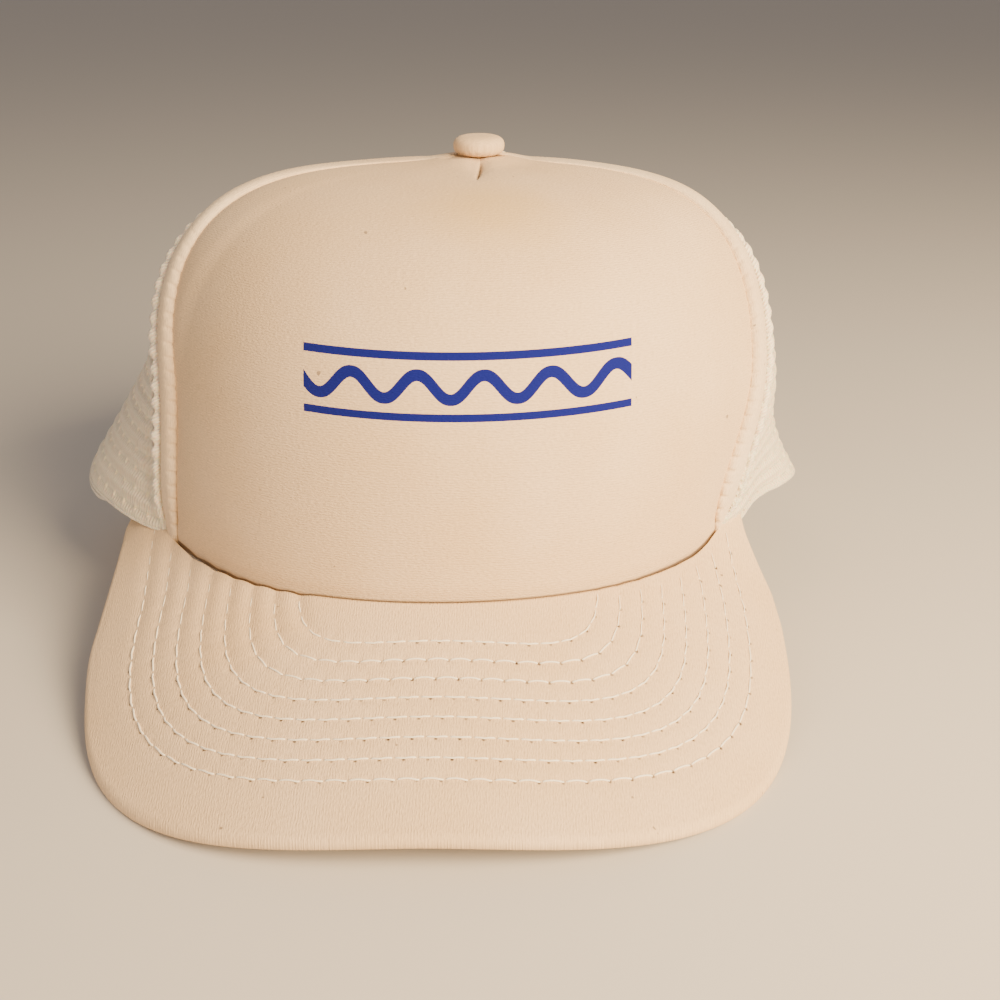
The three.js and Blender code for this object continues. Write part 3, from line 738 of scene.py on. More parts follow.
def spun_thread():
    """Spun polyester sewing thread: brighter than the cloth, with a fine twist."""
    colours = bpy.context.scene.cap_colours
    material, add, shader = new_material("Spun polyester thread")
    coordinates, _ = object_axes(add)
    noise = add("TexNoise", {"Vector": coordinates, "Scale": 1200.0, "Detail": 2.0})
    set_inputs(shader, {
        "Base Color": tinted(add, linear(colours.thread_shade), [(noise, 1.0, colours.thread)]),
        "Roughness": 0.55,
        "Sheen Weight": 0.3,
        "Normal": add("Bump", {"Height": noise, "Strength": 0.4, "Distance": 0.1 * MM}),
    })
    return material


def moulded_polyethylene():
    """Injection-moulded polyethylene: milky and satin, slightly translucent at thin edges."""
    colours = bpy.context.scene.cap_colours
    material, add, shader = new_material("Moulded polyethylene")
    coordinates, _ = object_axes(add)
    noise = add("TexNoise", {"Vector": coordinates, "Scale": 90.0, "Detail": 3.0})
    set_inputs(shader, {
        "Base Color": tinted(add, linear(colours.plastic_shade), [(noise, 1.0, colours.plastic)]),
        "Roughness": add("MapRange", noise, 0.0, 1.0, 0.32, 0.5),
        "IOR": 1.51,
        "Subsurface Weight": 0.2,
        "Subsurface Scale": 1.5 * MM,
    })
    return material


def length_property(name, description, millimetres):
    """Property for a length."""
    return FloatProperty(
        name=name, description=description, default=millimetres * MM, unit="LENGTH")


def colour_property(name, description, hex_colour):
    """Property for a colour, as its sRGB hex value."""
    return StringProperty(name=name, description=description, default=hex_colour)


class FrontSettings(bpy.types.PropertyGroup):
    """Sizes of the front panel."""

    foam: length_property("Foam", "Thickness of cloth and foam", 2.6)
    groove: length_property("Seam groove", "Depth to which the panel rolls into the arch seam", 0.8)
    undulation: length_property("Undulation", "Height of the soft dents in the foam", 0.35)
    dart_depth: length_property("Dart", "Depth of the pinched dart", 1.0)
    crease_depth: length_property("Crease", "Depth of the crease inside the dart", 1.3)
    thread_spacing: length_property(
        "Thread spacing", "Distance between threads, drawn coarser than the real one", 0.7)


class BandSettings(bpy.types.PropertyGroup):
    """Sizes of the raised band along the arch seam."""

    proud: length_property("Height", "How far the band stands out", 1.7)
    thickness: length_property("Thickness", "Depth of the whole band", 3.2)
    pitch: length_property("Stitch pitch", "Length of its stitches", 3.9)
    notch: length_property("Notch", "Depth of the pinch at a stitch", 0.6)
    bulge: length_property("Bulge", "Reach of the front edge over the panel", 0.6)
    more_bulge: length_property("More bulge", "Added to it on the +X side", 0.7)


class NetSettings(bpy.types.PropertyGroup):
    """Sizes of the knitted net."""

    cell_width: length_property("Cell width", "Distance between gaps in a row", 6.2)
    row_height: length_property("Row height", "Distance between rows of gaps", 4.6)
    hole_width: length_property("Hole width", "Width of a gap", 4.4)
    hole_height: length_property("Hole height", "Height of a gap", 2.0)
    thickness: length_property("Thickness", "Thickness of a strand", 0.7)
    knot: length_property("Bar", "Extra height of the bars", 0.5)
    inset: length_property("Inset", "Depth of the net's middle below the crown's outside", 0.5)
    cord_radius: length_property("Edge radius", "Radius of the beaded edge beside the band", 2.0)
    cord_inset: length_property(
        "Edge inset", "Depth of the edge's middle below the crown's outside", 0.6)
    loop_pitch: length_property("Loop pitch", "Width of one knitted loop", 1.2)


class PeakSettings(bpy.types.PropertyGroup):
    """Sizes of the peak."""

    thickness: length_property("Thickness", "Board and cloth together", 3.4)
    lip: length_property("Lip", "Radius of the rounded edge", 1.5)
    groove: length_property("Seam groove", "Depth of the cloth at a row", 0.3)
    rows: IntProperty(name="Rows", description="Rows of stitching", default=8)


class ThreadSettings(bpy.types.PropertyGroup):
    """Sizes of the sewing thread."""

    radius: length_property("Radius", "Radius of the thread", 0.26)
    peak_pitch: length_property("Peak pitch", "Length of the peak's stitches", 5.45)
    hole_radius: length_property("Needle hole", "Radius of a needle hole", 0.46)
    bow: length_property("Bow", "Sideways curve of a stitch", 0.25)
    fine_pitch: length_property("Fine pitch", "Length of stitches in the tape", 3.2)


class PrintSettings(bpy.types.PropertyGroup):
    """Sizes of the printed ornament."""

    width: length_property("Width", "Width of the ornament", 80)
    centre_x: length_property("Centre across", "Its middle, to +X of the crown's axis", 8)
    centre_z: length_property("Centre height", "Height of its middle", 89.5)
    waves: IntProperty(name="Waves", description="Number of waves", default=5)
    wave_height: length_property("Wave height", "Rise of the wave line", 2.7)
    wave_line: length_property("Wave line", "Width of the wave line", 2.6)
    bar_height: length_property("Bar height", "Distance from the middle to a bar", 6.8)
    bar_line: length_property("Bar line", "Width of a bar", 1.8)


class ColourSettings(bpy.types.PropertyGroup):
    """Colours as sRGB hex values."""

    cloth: colour_property("Cloth", "Woven polyester", "#e6caa6")
    cloth_aged: colour_property("Aged cloth", "Its yellowed patches", "#dfc097")
    # Painted highlight: the band's cloth is painted lighter than the panel's, where it puffs up and
    # catches light
    band: colour_property("Band", "The same cloth where it puffs up and catches light", "#efdabb")
    stain: colour_property("Stain", "Stain under the button", "#dcb97c")
    ink: colour_property("Ink", "Printing ink", "#000b70")
    lint: colour_property("Lint", "Caught specks", "#5e4c42")
    # Painted shade inside the needle holes, and on the strip where the front panel dips behind the
    # peak
    hole: colour_property("Needle hole", "Inside of a needle hole", "#3c2820")
    # Painted shade at the bottom of the dart's crease
    fold: colour_property("Fold", "Bottom of the dart's crease", "#6b6460")
    net: colour_property("Net", "Nylon net", "#f8e9cc")
    net_shade: colour_property("Net shade", "Between its loops", "#e8d5b8")
    # Painted highlight on the yarns of its turned edge
    net_edge_highlight: colour_property("Net edge", "Its turned edge", "#fcefdc")
    # Painted shade in the gaps between the beads of that edge
    net_gap_shade: colour_property("Net gap", "Between the beads of that edge", "#77694f")
    tape: colour_property("Tape", "Cotton tape", "#f4ead9")
    tape_shade: colour_property("Tape shade", "Between its ribs", "#e0d2bd")
    thread: colour_property("Thread", "Sewing thread", "#fff5e2")
    thread_shade: colour_property("Thread shade", "In its twist", "#f1e6d2")
    plastic: colour_property("Plastic", "Moulded strap", "#efebe0")
    plastic_shade: colour_property("Plastic shade", "Its cloudier places", "#e2dccd")
    floor: colour_property("Floor", "Studio floor", "#cdc8c2")


class StageSettings(bpy.types.PropertyGroup):
    """Camera and lights."""

    camera_place: FloatVectorProperty(
        name="Camera", description="Camera from the foot of the crown's axis",
        default=(15.7 * MM, -364.4 * MM, 190.1 * MM), subtype="TRANSLATION")
    camera_pitch: FloatProperty(
        name="Camera pitch", description="Angle that the camera looks down",
        default=math.radians(24.9), subtype="ANGLE")
    lens: FloatProperty(name="Lens", description="Focal length in millimetres", default=45.0)
    key_power: FloatProperty(
        name="Key light", description="Power of the main light in watts", default=22.5)
    fill_power: FloatProperty(
        name="Fill light", description="Power of the fill light in watts", default=1.5)
    world_strength: FloatProperty(
        name="Surround", description="Strength of the pale surround", default=0.38)


def tucked_in(grid):
    """A grid of points with one more row, straight below its first, behind the peak."""
    return np.concatenate([grid[:1] - (0, 0, TUCK), grid])


def panel_uv(points):
    """Cloth coordinates of a grid of points: distances along its rows, from the middle, and up its
    columns."""
    across = np.zeros(points.shape[:2])
    across[:, 1:] = np.cumsum(np.linalg.norm(np.diff(points, axis=1), axis=-1), axis=1)
    middle = across[:, across.shape[1] // 2][:, None]
    up = np.zeros(points.shape[:2])
    up[1:] = np.cumsum(np.linalg.norm(np.diff(points, axis=0), axis=-1), axis=0)
    return np.stack([across - middle, up], -1)


def height_over_peak(points, azimuth):
    """Height of each point of the front over the peak's inner edge at its azimuth."""
    turn = np.radians(azimuth[0])
    edge = PEAK_INNER * np.stack([np.sin(turn), -np.cos(turn)])
    top = peak_height(*edge) + peak_relief(*edge)[0] + tip_lift(azimuth[0], 0)
    return points[..., 2] - ORIGIN[2] - np.interp(azimuth, azimuth[0], top)


class CAP_OT_front_panel(bpy.types.Operator):
    """Front panel: one piece of foam-backed cloth that rolls into the arch seam, with soft dents
    and a pinched dart under the button."""

    bl_idname = "cap.front_panel"
    bl_label = "Front panel"

    def execute(self, context):
        front = context.scene.cap_front
        shares = TOP_SHARE * np.linspace(0, 1, 150)[:, None]
        # The columns lie closest at the dart in the middle and at the two seams
        even = np.linspace(-1, 1, 221)[None, :]
        columns = even - 0.75 * np.sin(2 * np.pi * even) / (2 * np.pi)
        edges = {}
        for side in (-1, 1):
            seam = arch_azimuth(shares, side)
            edges[side] = seam - turn_for(GAP / 2, seam, shares)
        edge = np.where(columns < 0, edges[-1], edges[1])
        azimuth = edge * columns
        share = np.broadcast_to(shares, azimuth.shape)
        radius = crown_radius(azimuth, share)
        from_seam = np.radians(edge * (1 - np.abs(columns))) * radius
        rise = crown_rise(azimuth, share)
        rolled = front.groove * np.exp(-(from_seam / (3.2 * MM)) ** 1.5)
        rolled = rolled * (1 - 0.4 * ramp(rise, 0, 70))
        rolled = rolled * ramp(radius, 10, 16) * ramp(rise, 0, 6)
        hem = 0.35 * MM * np.exp(-(rise / (2.0 * MM)) ** 2)
        dents = front.undulation * ripple(azimuth / 14, rise / (17 * MM), 5)
        dents = dents * ramp(from_seam, 0, 12) * ramp(rise, 0, 14)
        outer = crown_point(azimuth, share, rolled + hem - dents)
        inner = crown_point(azimuth, share, front.foam)
        outer, inner = tucked_in(outer), tucked_in(inner)
        uv = panel_uv(outer)
        points, faces = shell(outer, inner)
        uvs = np.concatenate([uv.reshape(-1, 2), uv.reshape(-1, 2) + INSIDE_UV])
        material = woven_polyester("Foam-backed woven polyester, printed", with_print=True)
        panel = make_piece("front_panel_cloth", [(points, faces)], material, uvs)
        # Height over the peak, which places the painted shade on the strip above the peak's top
        over = height_over_peak(outer, np.concatenate([azimuth[:1], azimuth])).ravel()
        over = np.concatenate([over, np.ones_like(over)])
        add_uv_map(panel, "Hem", np.stack([over, np.zeros_like(over)], -1))
        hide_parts("front_panel")
        return {"FINISHED"}


def band_limits(share, side):
    """Azimuths of the band's two edges, less the seam gaps."""
    seam = arch_azimuth(share, side)
    gap = turn_for(GAP / 2, seam, share)
    return seam + gap, band_edge(share, side) - gap


class CAP_OT_seam_bands(bpy.types.Operator):
    """Raised bands along the arch seams: puffed cloth whose front edge bulges over the panel
    between its stitches and is pinched by each of them."""

    bl_idname = "cap.seam_bands"
    bl_label = "Seam bands"

    def execute(self, context):
        band = context.scene.cap_band
        # The bands' cloth is painted lighter, as a painted highlight where they puff up
        material = woven_polyester("Foam-backed woven polyester, plain", painted_highlight=True)
        fine = np.linspace(0, TOP_SHARE, 1500)
        for side, label in ((-1, "right"), (1, "left")):
            seam_line = crown_point(side * band_limits(fine, side)[0], fine, 0)
            share = even_parameter(seam_line, fine, 0.42 * MM)[:, None]
            start, stop = band_limits(share, side)
            along = path_lengths(crown_point(side * start[:, 0], share[:, 0], 0))[:, None]
            radius = crown_radius(side * start, share)
            full = ramp(radius, 30, 45)
            sewn = 1 - ramp(along, 70, 25)
            pinch = np.abs(np.cos(np.pi * along / band.pitch)) ** 10 * sewn
            across = (1 - np.cos(np.linspace(0, np.pi, 25)))[None, :] / 2
            bulge = (band.bulge + (band.more_bulge if side > 0 else 0)) * ramp(along, 0, 20)
            bulge = bulge * ramp(radius, 12, 10) - 0.45 * MM * pinch
            start = start - turn_for(bulge, start, share)
            azimuth = side * (start + (stop - start) * across)
            shares = np.broadcast_to(share, azimuth.shape)
            dome = (1 - np.abs(2 * across - 1) ** 2.6) ** 0.5
            settled = 0.45 + 0.55 * ramp(along, 0, 22)
            crest = band.proud * settled * full * (dome * 1.15 - 0.15)
            crest = crest + 0.4 * MM * (1 - full) * (dome - 0.5)
            crest = crest - band.notch * pinch * np.exp(-(across / 0.12) ** 2)
            wrinkle = 0.08 * MM * ripple(along / (3.5 * MM), across * 1.2, 11 + side) * dome * full
            outer = crown_point(azimuth, shares, -(crest + wrinkle))
            inner = crown_point(azimuth, shares, band.thickness - 1.5 * MM)
            outer, inner = tucked_in(outer), tucked_in(inner)
            uvs = np.concatenate([panel_uv(outer)[..., ::-1].reshape(-1, 2)] * 2)
            piece = make_piece(f"seam_band_{label}_cloth", [shell(outer, inner)], material, uvs)
            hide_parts(f"seam_band_{label}")
        return {"FINISHED"}


def net_cells(width, height):
    """Centres of a staggered lattice of cells that covers a width and a height."""
    net = bpy.context.scene.cap_net
    columns = int(width / 2 / net.cell_width) + 2
    rows = int(height / net.row_height) + 2
    column = np.arange(-columns, columns + 1)[None, :]
    row = np.arange(-1, rows)[:, None]
    u = column * net.cell_width + (row % 2) * net.cell_width / 2
    v = (row + 0.5) * net.row_height
    u, v = np.broadcast_arrays(u, v)
    return np.stack([u.ravel(), v.ravel()], -1)


def net_cell():
    """One cell of the net as (gap, ring, share from gap to ring, heights, quads), ring by ring. The
    outer ring is a brick-like hexagon that meets its neighbours, the inner one the gap, and between
    them the yarn swells to a half-round: thick in the bars between the rows of gaps, thin in the
    strands between the gaps of a row."""
    net = bpy.context.scene.cap_net
    short = 0.47 * net.row_height
    tall = net.row_height - short
    half = net.cell_width / 2
    corners = np.array([
        (half, -short), (half, short), (0, tall), (-half, short), (-half, -short), (0, -tall)])
    steps = np.linspace(0, 1, 6, endpoint=False)[:, None]
    following = np.roll(corners, -1, axis=0)
    ring = np.concatenate([
        start + (stop - start) * steps for start, stop in zip(corners, following)])
    bar = smooth_step((np.abs(ring[:, 1]) / net.row_height - 0.2) / 0.25)
    angle = np.arctan2(ring[:, 1] / tall, ring[:, 0] / half)
    gap = np.stack([
        net.hole_width / 2 * signed_power(np.cos(angle), GAP_ROUNDNESS),
        net.hole_height / 2 * signed_power(np.sin(angle), GAP_ROUNDNESS),
    ], -1)
    top = net.thickness / 2 + net.knot * bar
    shares = np.repeat([0, 0.22, 0.6, 1, 1], len(ring))[:, None]
    bottom = -net.thickness / 2 - 0.3 * net.knot * bar
    heights = np.concatenate([0 * top, 0.5 * top, 0.83 * top, top, bottom])
    sides = len(ring)
    outside = grid_quads(4, sides, close_columns=True)
    side = np.arange(sides)
    following = (side + 1) % sides
    inside = np.stack([side, following, 4 * sides + following, 4 * sides + side], -1)
    quads = np.concatenate([outside[:, ::-1], inside[:, ::-1]])
    return np.tile(gap, (5, 1)), np.tile(ring, (5, 1)), shares, heights, quads


def net_panel(middle, clamp, side):
    """Points, quads and cloth coordinates of a net panel: the lattice is laid on the crown with its
    columns upright at the panel's middle, cut off at the panel's edges, where it thins to nothing.
    Towards the rim its gaps are drawn shut, down to a shallow groove."""
    net = bpy.context.scene.cap_net
    shares = np.linspace(0, TOP_SHARE, 400)
    meridian = crown_surface(np.full_like(shares, middle), shares)
    lengths = path_lengths(meridian)
    radii = crown_radius(np.full_like(shares, middle), shares)
    centres = net_cells(150 * MM, lengths[-1])
    gap, ring, blend, heights, quads = net_cell()
    centre_radius = np.interp(centres[:, 1], lengths, radii)
    centre_share = np.interp(centres[:, 1], lengths, shares)
    behind = centres[:, 0] + np.radians(middle - band_edge(centre_share, side)) * centre_radius
    first_open = SHUT_HEIGHT - SHUT_LESS * (1 - ramp(behind, 7.5, 3))
    open_share = ramp(centres[:, 1] - first_open, 0, 8)
    opening = np.stack([1.2 - 0.2 * open_share, 0.015 + 0.985 * open_share], -1)[:, None]
    flat = centres[:, None] + ring * blend + gap * (1 - blend) * opening
    share = np.interp(flat[..., 1], lengths, shares)
    azimuth = middle + np.degrees(flat[..., 0] / np.interp(flat[..., 1], lengths, radii))
    outside = (flat[..., 1] < 0.15 * MM) | (flat[..., 1] > lengths[-1])
    azimuth, share, past = clamp(np.clip(azimuth, middle - 80, middle + 80), share, side)
    outside = outside | past
    filled = np.where(blend[:, 0] < 1, heights.max() * (0.1 + 0.95 * blend[:, 0]), heights)
    height = filled + (heights - filled) * open_share[:, None]
    height = np.where(outside, 0, height)
    size = outside.shape[1]
    cells = np.flatnonzero(~outside.all(axis=1))
    all_quads = (quads[None] + (cells * size)[:, None, None]).reshape(-1, 4)
    keys = np.round(np.stack([flat[..., 0], flat[..., 1], height], -1).reshape(-1, 3) / (1e-4 * MM))
    _, first, shared = np.unique(keys, axis=0, return_index=True, return_inverse=True)
    used, packed = np.unique(shared.ravel()[all_quads], return_inverse=True)
    used = first[used]
    azimuth, share, height = (values.ravel()[used] for values in (azimuth, share, height))
    points = net_point(azimuth, share, net.inset - height, side)
    return points, packed.reshape(-1, 4), flat.reshape(-1, 2)[used]


def net_point(azimuth, share, inset, side):
    """Point of the net: the crown's, with a roll beside the band and drawn in behind it, except on
    the flare, less a sag over the top, where the slack net falls away behind the stiffer band."""
    radius = crown_radius(side * azimuth, share)
    behind = azimuth - band_edge(share, side)
    distance = np.radians(behind) * radius
    rise = crown_rise(side * azimuth, share)
    height, place = ROLL_HEIGHT[side], ROLL_PLACE[side]
    roll = height * np.exp(-((distance - place) / (2.2 * MM)) ** 2) * (1 - ramp(rise, 65, 25))
    roll = roll * ramp(rise, -2, 16)
    flared = 1 - ramp(rise, 26, 18)
    drawn = 1.5 * MM * ramp(distance, 3, 2) * (1 - flared * ramp(distance, 6, 6))
    drawn = drawn * (1 - smooth_step((azimuth - 98) / 24)) * ramp(radius, 60, 20)
    drawn = drawn * ramp(rise, 2, 18)
    depth = 1.1 * MM + 1.8 * MM * smooth_step(behind / 22)
    over_top = smooth_step((86 * MM - radius) / (26 * MM)) * ramp(radius, 6, 16)
    point = crown_point(side * azimuth, share, inset + drawn - roll)
    point[..., 2] -= depth * over_top
    return point


def edge_cord(azimuth, share, side, radius, bead_pitch, sides=9):
    """Turned edge of a net panel: a tube round its outline, thicker beside the band, where it
    swells to a bead at each row. Returns points, quads and coordinates: the first winds round it
    like its yarns, the second is the strength of the painted shade in the gaps between its beads."""
    net = bpy.context.scene.cap_net
    loop = net_point(azimuth, share, net.cord_inset, side)
    lengths = path_lengths(np.concatenate([loop, loop[:1]]))
    even = np.linspace(0, lengths[-1], int(lengths[-1] / (0.75 * MM)), endpoint=False)
    wrapped_azimuth = np.interp(even, lengths, np.append(azimuth, azimuth[0]))
    wrapped_share = np.interp(even, lengths, np.append(share, share[0]))
    centres = net_point(wrapped_azimuth, wrapped_share, net.cord_inset, side)
    run = np.roll(centres, -1, axis=0) - np.roll(centres, 1, axis=0)
    normals = np.cross(inward(side * wrapped_azimuth, wrapped_share), run)
    around = crown_radius(side * wrapped_azimuth, wrapped_share)
    distance = np.radians(wrapped_azimuth - band_edge(wrapped_share, side)) * around
    beside_band = 1 - ramp(distance, 2.4, 1)
    over_top = ramp(around, 12, 70)
    rise = crown_rise(side * wrapped_azimuth, wrapped_share)
    thick = beside_band * ramp(rise, -2, 14) * (0.4 + 0.6 * ramp(rise, 14, 16))
    thick = thick * EDGE_SIZE[side] * (1 - 0.25 * ramp(rise, 60, 20))
    size = radius * (0.26 + 0.74 * thick) * (0.25 + 0.75 * over_top)
    swell = np.abs(np.cos(np.pi * even / bead_pitch))
    bead = 0.45 * swell ** 1.2 - 0.27
    size = size * (1 + bead * (0.3 + 0.7 * beside_band) + 0.1 * ripple(even / (1.5 * MM), 0, 31))
    points, quads = closed_tube(centres, normals, size, sides)
    turn = np.arange(sides) / sides * 5 * net.loop_pitch
    winding = EDGE_UV + even[:, None] + turn[None, :]
    rearward = unit(net_point(wrapped_azimuth + 1, wrapped_share, net.cord_inset, side) - centres)
    facing = (unit(points.reshape(-1, sides, 3) - centres[:, None]) * rearward[:, None]).sum(-1)
    # Painted shade between the beads, on the -X side, where the edge faces rearwards
    between = smooth_step((0.6 - swell) / 0.3) * beside_band * (side < 0)
    low = ramp(rise, 22, 4) * (1 - ramp(rise, 44, 6))
    gap = (between * low)[:, None] * smooth_step((facing + 0.2) / 0.5)
    return points, quads, np.stack([winding, gap], -1).reshape(-1, 2)


def side_limits(share, side):
    """Azimuths between which a side panel lies."""
    start = band_edge(share, side) + turn_for(GAP / 2, arch_azimuth(share, side), share)
    stop = np.maximum(REAR_SIDE, start + NARROWEST_PANEL) - turn_for(GAP / 2, REAR_SIDE, share)
    return start, stop


def rear_limits(share, side):
    """Azimuths between which a rear panel lies, above the opening."""
    least = band_edge(share, side) + NARROWEST_PANEL + turn_for(GAP, REAR, share)
    first = np.maximum(REAR_SIDE, least)
    return first + turn_for(GAP / 2, REAR, share), REAR - turn_for(GAP / 2, REAR, share)


def clamp_side(azimuth, share, side):
    """Moves points past a side panel's edges onto them, and says which were past."""
    start, stop = side_limits(share, side)
    moved = np.clip(azimuth, start, stop)
    return moved, share, moved != azimuth


def clamp_rear(azimuth, share, side):
    """The same for a rear panel, whose lower edge is the half-moon round the opening: a point
    inside that ellipse moves straight away from its centre."""
    start, stop = rear_limits(share, side)
    moved = np.clip(azimuth, start, stop)
    past = moved != azimuth
    width = np.degrees((OPENING_HALF_WIDTH + TAPE_WIDTH + GAP) / section(RIM, REAR))
    height = OPENING_HEIGHT + TAPE_WIDTH + GAP
    across = (REAR - moved) / width
    rise = crown_rise(moved, share)
    size = np.hypot(across, rise / height)
    inside = size < 1
    scale = np.where(inside, 1 / np.maximum(size, 0.05), 1)
    out_azimuth = np.where(inside, REAR - across * scale * width, moved)
    out_share = np.where(inside, share_at_rise(out_azimuth, rise * scale), share)
    start, stop = rear_limits(out_share, side)
    return np.clip(out_azimuth, start, stop), out_share, past | inside


def side_outline(side):
    """Azimuths and shares round a side panel."""
    up = np.linspace(0, TOP_SHARE, 200)
    start, stop = side_limits(up, side)
    start = np.minimum(start + turn_for(1.5 * MM, start, up), stop)
    along = np.linspace(start[0], stop[0], 60)
    top = np.linspace(stop[-1], start[-1], 6)
    azimuth = np.concatenate([along, stop[1:], top[1:], start[::-1][1:-1]])
    share = np.concatenate([np.zeros(60), up[1:], np.full(5, TOP_SHARE), up[::-1][1:-1]])
    return azimuth, share


def rear_outline(side):
    """Azimuths and shares round a rear panel."""
    angle = np.linspace(0, np.pi / 2, 80)
    arch_azimuths, arch_shares = opening_point(angle, TAPE_WIDTH + GAP)
    up = np.linspace(0, TOP_SHARE, 200)
    start, _ = rear_limits(up, side)
    foot = np.linspace(start[0], arch_azimuths[0], 20)
    arch_azimuths = np.minimum(arch_azimuths, rear_limits(arch_shares, side)[1])
    above = up[up > arch_shares[-1]]
    azimuth = np.concatenate([foot, arch_azimuths[1:], rear_limits(above, side)[1], start[::-1]])
    share = np.concatenate([np.zeros(20), arch_shares[1:], above, up[::-1]])
    return azimuth[:-1], share[:-1]


class CAP_OT_net_panels(bpy.types.Operator):
    """Side and rear panels of knitted net, each a lattice of rounded strands with a turned edge."""

    bl_idname = "cap.net_panels"
    bl_label = "Net panels"

    def execute(self, context):
        net = context.scene.cap_net
        material = knitted_nylon()
        shapes = (
            ("mesh_side", 94, clamp_side, side_outline, (95 * MM, 130 * MM)),
            ("mesh_rear", 154, clamp_rear, rear_outline, (75 * MM, 150 * MM)),
        )
        for name, middle, clamp, outline, flat in shapes:
            for side, label in ((-1, "right"), (1, "left")):
                points, quads, uv = net_panel(middle, clamp, side)
                *cord, cord_uv = edge_cord(*outline(side), side, net.cord_radius, net.row_height)
                panel = make_piece(f"{name}_{label}_net", [(points, quads), cord], material,
                                   np.concatenate([uv, cord_uv]))
                panel.data.set_sharp_from_angle(angle=math.radians(75))
                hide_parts(f"{name}_{label}")
                net_area(panel, flat)
        return {"FINISHED"}


def net_area(panel, flat):
    """Flat area of a net's strands: half of its surface, since that counts both faces, within the
    share of the cut rectangle that a net can take up."""
    polygons = panel.data.polygons
    areas = np.zeros(len(polygons))
    polygons.foreach_get("area", areas)
    return float(np.clip(areas.sum() / 2 / 1.2, 0.3 * flat[0] * flat[1], flat[0] * flat[1]))


def peak_height(x, y):
    """Height of the peak's top: a plane that slopes up to the crown, less an arch to both sides."""
    return PEAK_SEAM_HEIGHT + PEAK_SLOPE * (y + SEAM_RADIUS) - PEAK_ARCH * x * x


def peak_reach(azimuth):
    """Distance from the axis to the peak's outline, by halving."""
    low = np.full(azimuth.shape, SEAM_RADIUS)
    high = np.full(azimuth.shape, 0.2)
    for _ in range(40):
        middle = (low + high) / 2
        y = -middle * np.cos(np.radians(azimuth)) - PEAK_CENTRE_Y
        x = middle * np.sin(np.radians(azimuth)) + PEAK_SKEW * np.maximum(y, 0)
        along = np.where(y < 0, -y / PEAK_FRONT_DEPTH, y / PEAK_REAR_DEPTH)
        inside = (np.abs(x) / PEAK_HALF_WIDTH) ** PEAK_SQUARENESS + along ** PEAK_SQUARENESS < 1
        low = np.where(inside, middle, low)
        high = np.where(inside, high, middle)
    return (low + high) / 2


def stitch_row(index):
    """Plan of one row of the peak's stitching: a superellipse between the innermost row's and the
    outermost's, open at the back, where it runs into the crown."""
    part = index / (bpy.context.scene.cap_peak.rows - 1)
    row = INNER_ROW + (OUTER_ROW - INNER_ROW) * part
    half_width, depth, centre_x = row[:3] * MM
    squareness = row[3]
    angle = np.linspace(0, np.pi, 600)
    front_x = signed_power(np.cos(angle), 2 / squareness) * half_width
    front_y = -np.sin(angle) ** (2 / squareness) * depth
    back_y = np.linspace(40 * MM, 0, 60, endpoint=False)
    back_x = half_width * (1 - (back_y / PEAK_REAR_DEPTH) ** squareness) ** (1 / squareness)
    x = np.concatenate([back_x, front_x, -back_x[::-1]])
    y = np.concatenate([back_y, front_y, back_y[::-1]])
    x = x + centre_x - PEAK_SKEW * np.maximum(y, 0)
    y = y + PEAK_CENTRE_Y
    outside = np.hypot(x, y) > SEAM_RADIUS + 1.2 * MM
    path = np.stack([x[outside], y[outside]], -1)
    lengths = path_lengths(path)
    count = int(lengths[-1] / (1 * MM))
    return values_along(np.linspace(0, lengths[-1], count), lengths, path)


def nearest_on_path(places, path):
    """Signed distance from each place to a path, and the distance along the path to its nearest
    point."""
    starts, steps = path[:-1], np.diff(path, axis=0)
    squares = (steps ** 2).sum(-1)
    lengths = path_lengths(path)
    offset = places[:, None] - starts[None]
    part = np.clip((offset * steps[None]).sum(-1) / squares[None], 0, 1)
    away = offset - part[..., None] * steps[None]
    distance = (away ** 2).sum(-1)
    best = distance.argmin(axis=1)
    pick = (np.arange(len(places)), best)
    turn = steps[best, 0] * away[pick][:, 1] - steps[best, 1] * away[pick][:, 0]
    signed = np.sqrt(distance[pick]) * np.where(turn < 0, -1, 1)
    return signed, lengths[best] + part[pick] * np.sqrt(squares[best])


def peak_relief(x, y):
    """Height of the cloth above the peak's smooth top at each place: a soft groove along each row,
    deeper at each needle hole and, on the -X side, wider and deeper where the rows run into the
    crown, and faint undulations. With it come the coordinates of the needle holes: the distance to
    the nearest row, which stays clear of it where the holes fade, and the count of stitches."""
    peak = bpy.context.scene.cap_peak
    thread = bpy.context.scene.cap_thread
    places = np.stack([x.ravel(), y.ravel()], -1)
    groove = np.zeros(len(places))
    nearest = np.full(len(places), 1.0)
    count = np.zeros(len(places))
    beyond = np.hypot(*places.T) - SEAM_RADIUS
    drawn = np.exp(-(beyond / (18 * MM)) ** 2) * ramp(-places[:, 0], 0, 40)
    for index in range(peak.rows):
        path = stitch_row(index)
        length = path_lengths(path)[-1]
        stitches = int(length / thread.peak_pitch)
        start = (length - stitches * thread.peak_pitch) / 2
        distance, along = nearest_on_path(places, path)
        phase = (along - start) / thread.peak_pitch
        dimple = 0.7 + 0.6 * np.cos(np.pi * phase) ** 8
        dimple = dimple + (1 - dimple) * drawn
        width = 1.3 * MM * (1 + 0.8 * drawn)
        deepest = peak.groove * (1 + 1.6 * drawn)
        groove += deepest * np.exp(-np.abs(distance / width) ** 1.5) * dimple
        closer = np.abs(distance) < np.abs(nearest)
        nearest = np.where(closer, distance, nearest)
        count = np.where(closer, np.clip(phase, 0.5, stitches - 0.5) + 100 * index, count)
    aside = HOLE_OFFSET + np.hypot(nearest - HOLE_OFFSET, 1.5 * MM * drawn)
    waves = 0.16 * MM * ripple(x.ravel() / (14 * MM), y.ravel() / (11 * MM), 3)
    shape = x.shape
    return (waves - groove).reshape(shape), aside.reshape(shape), count.reshape(shape)


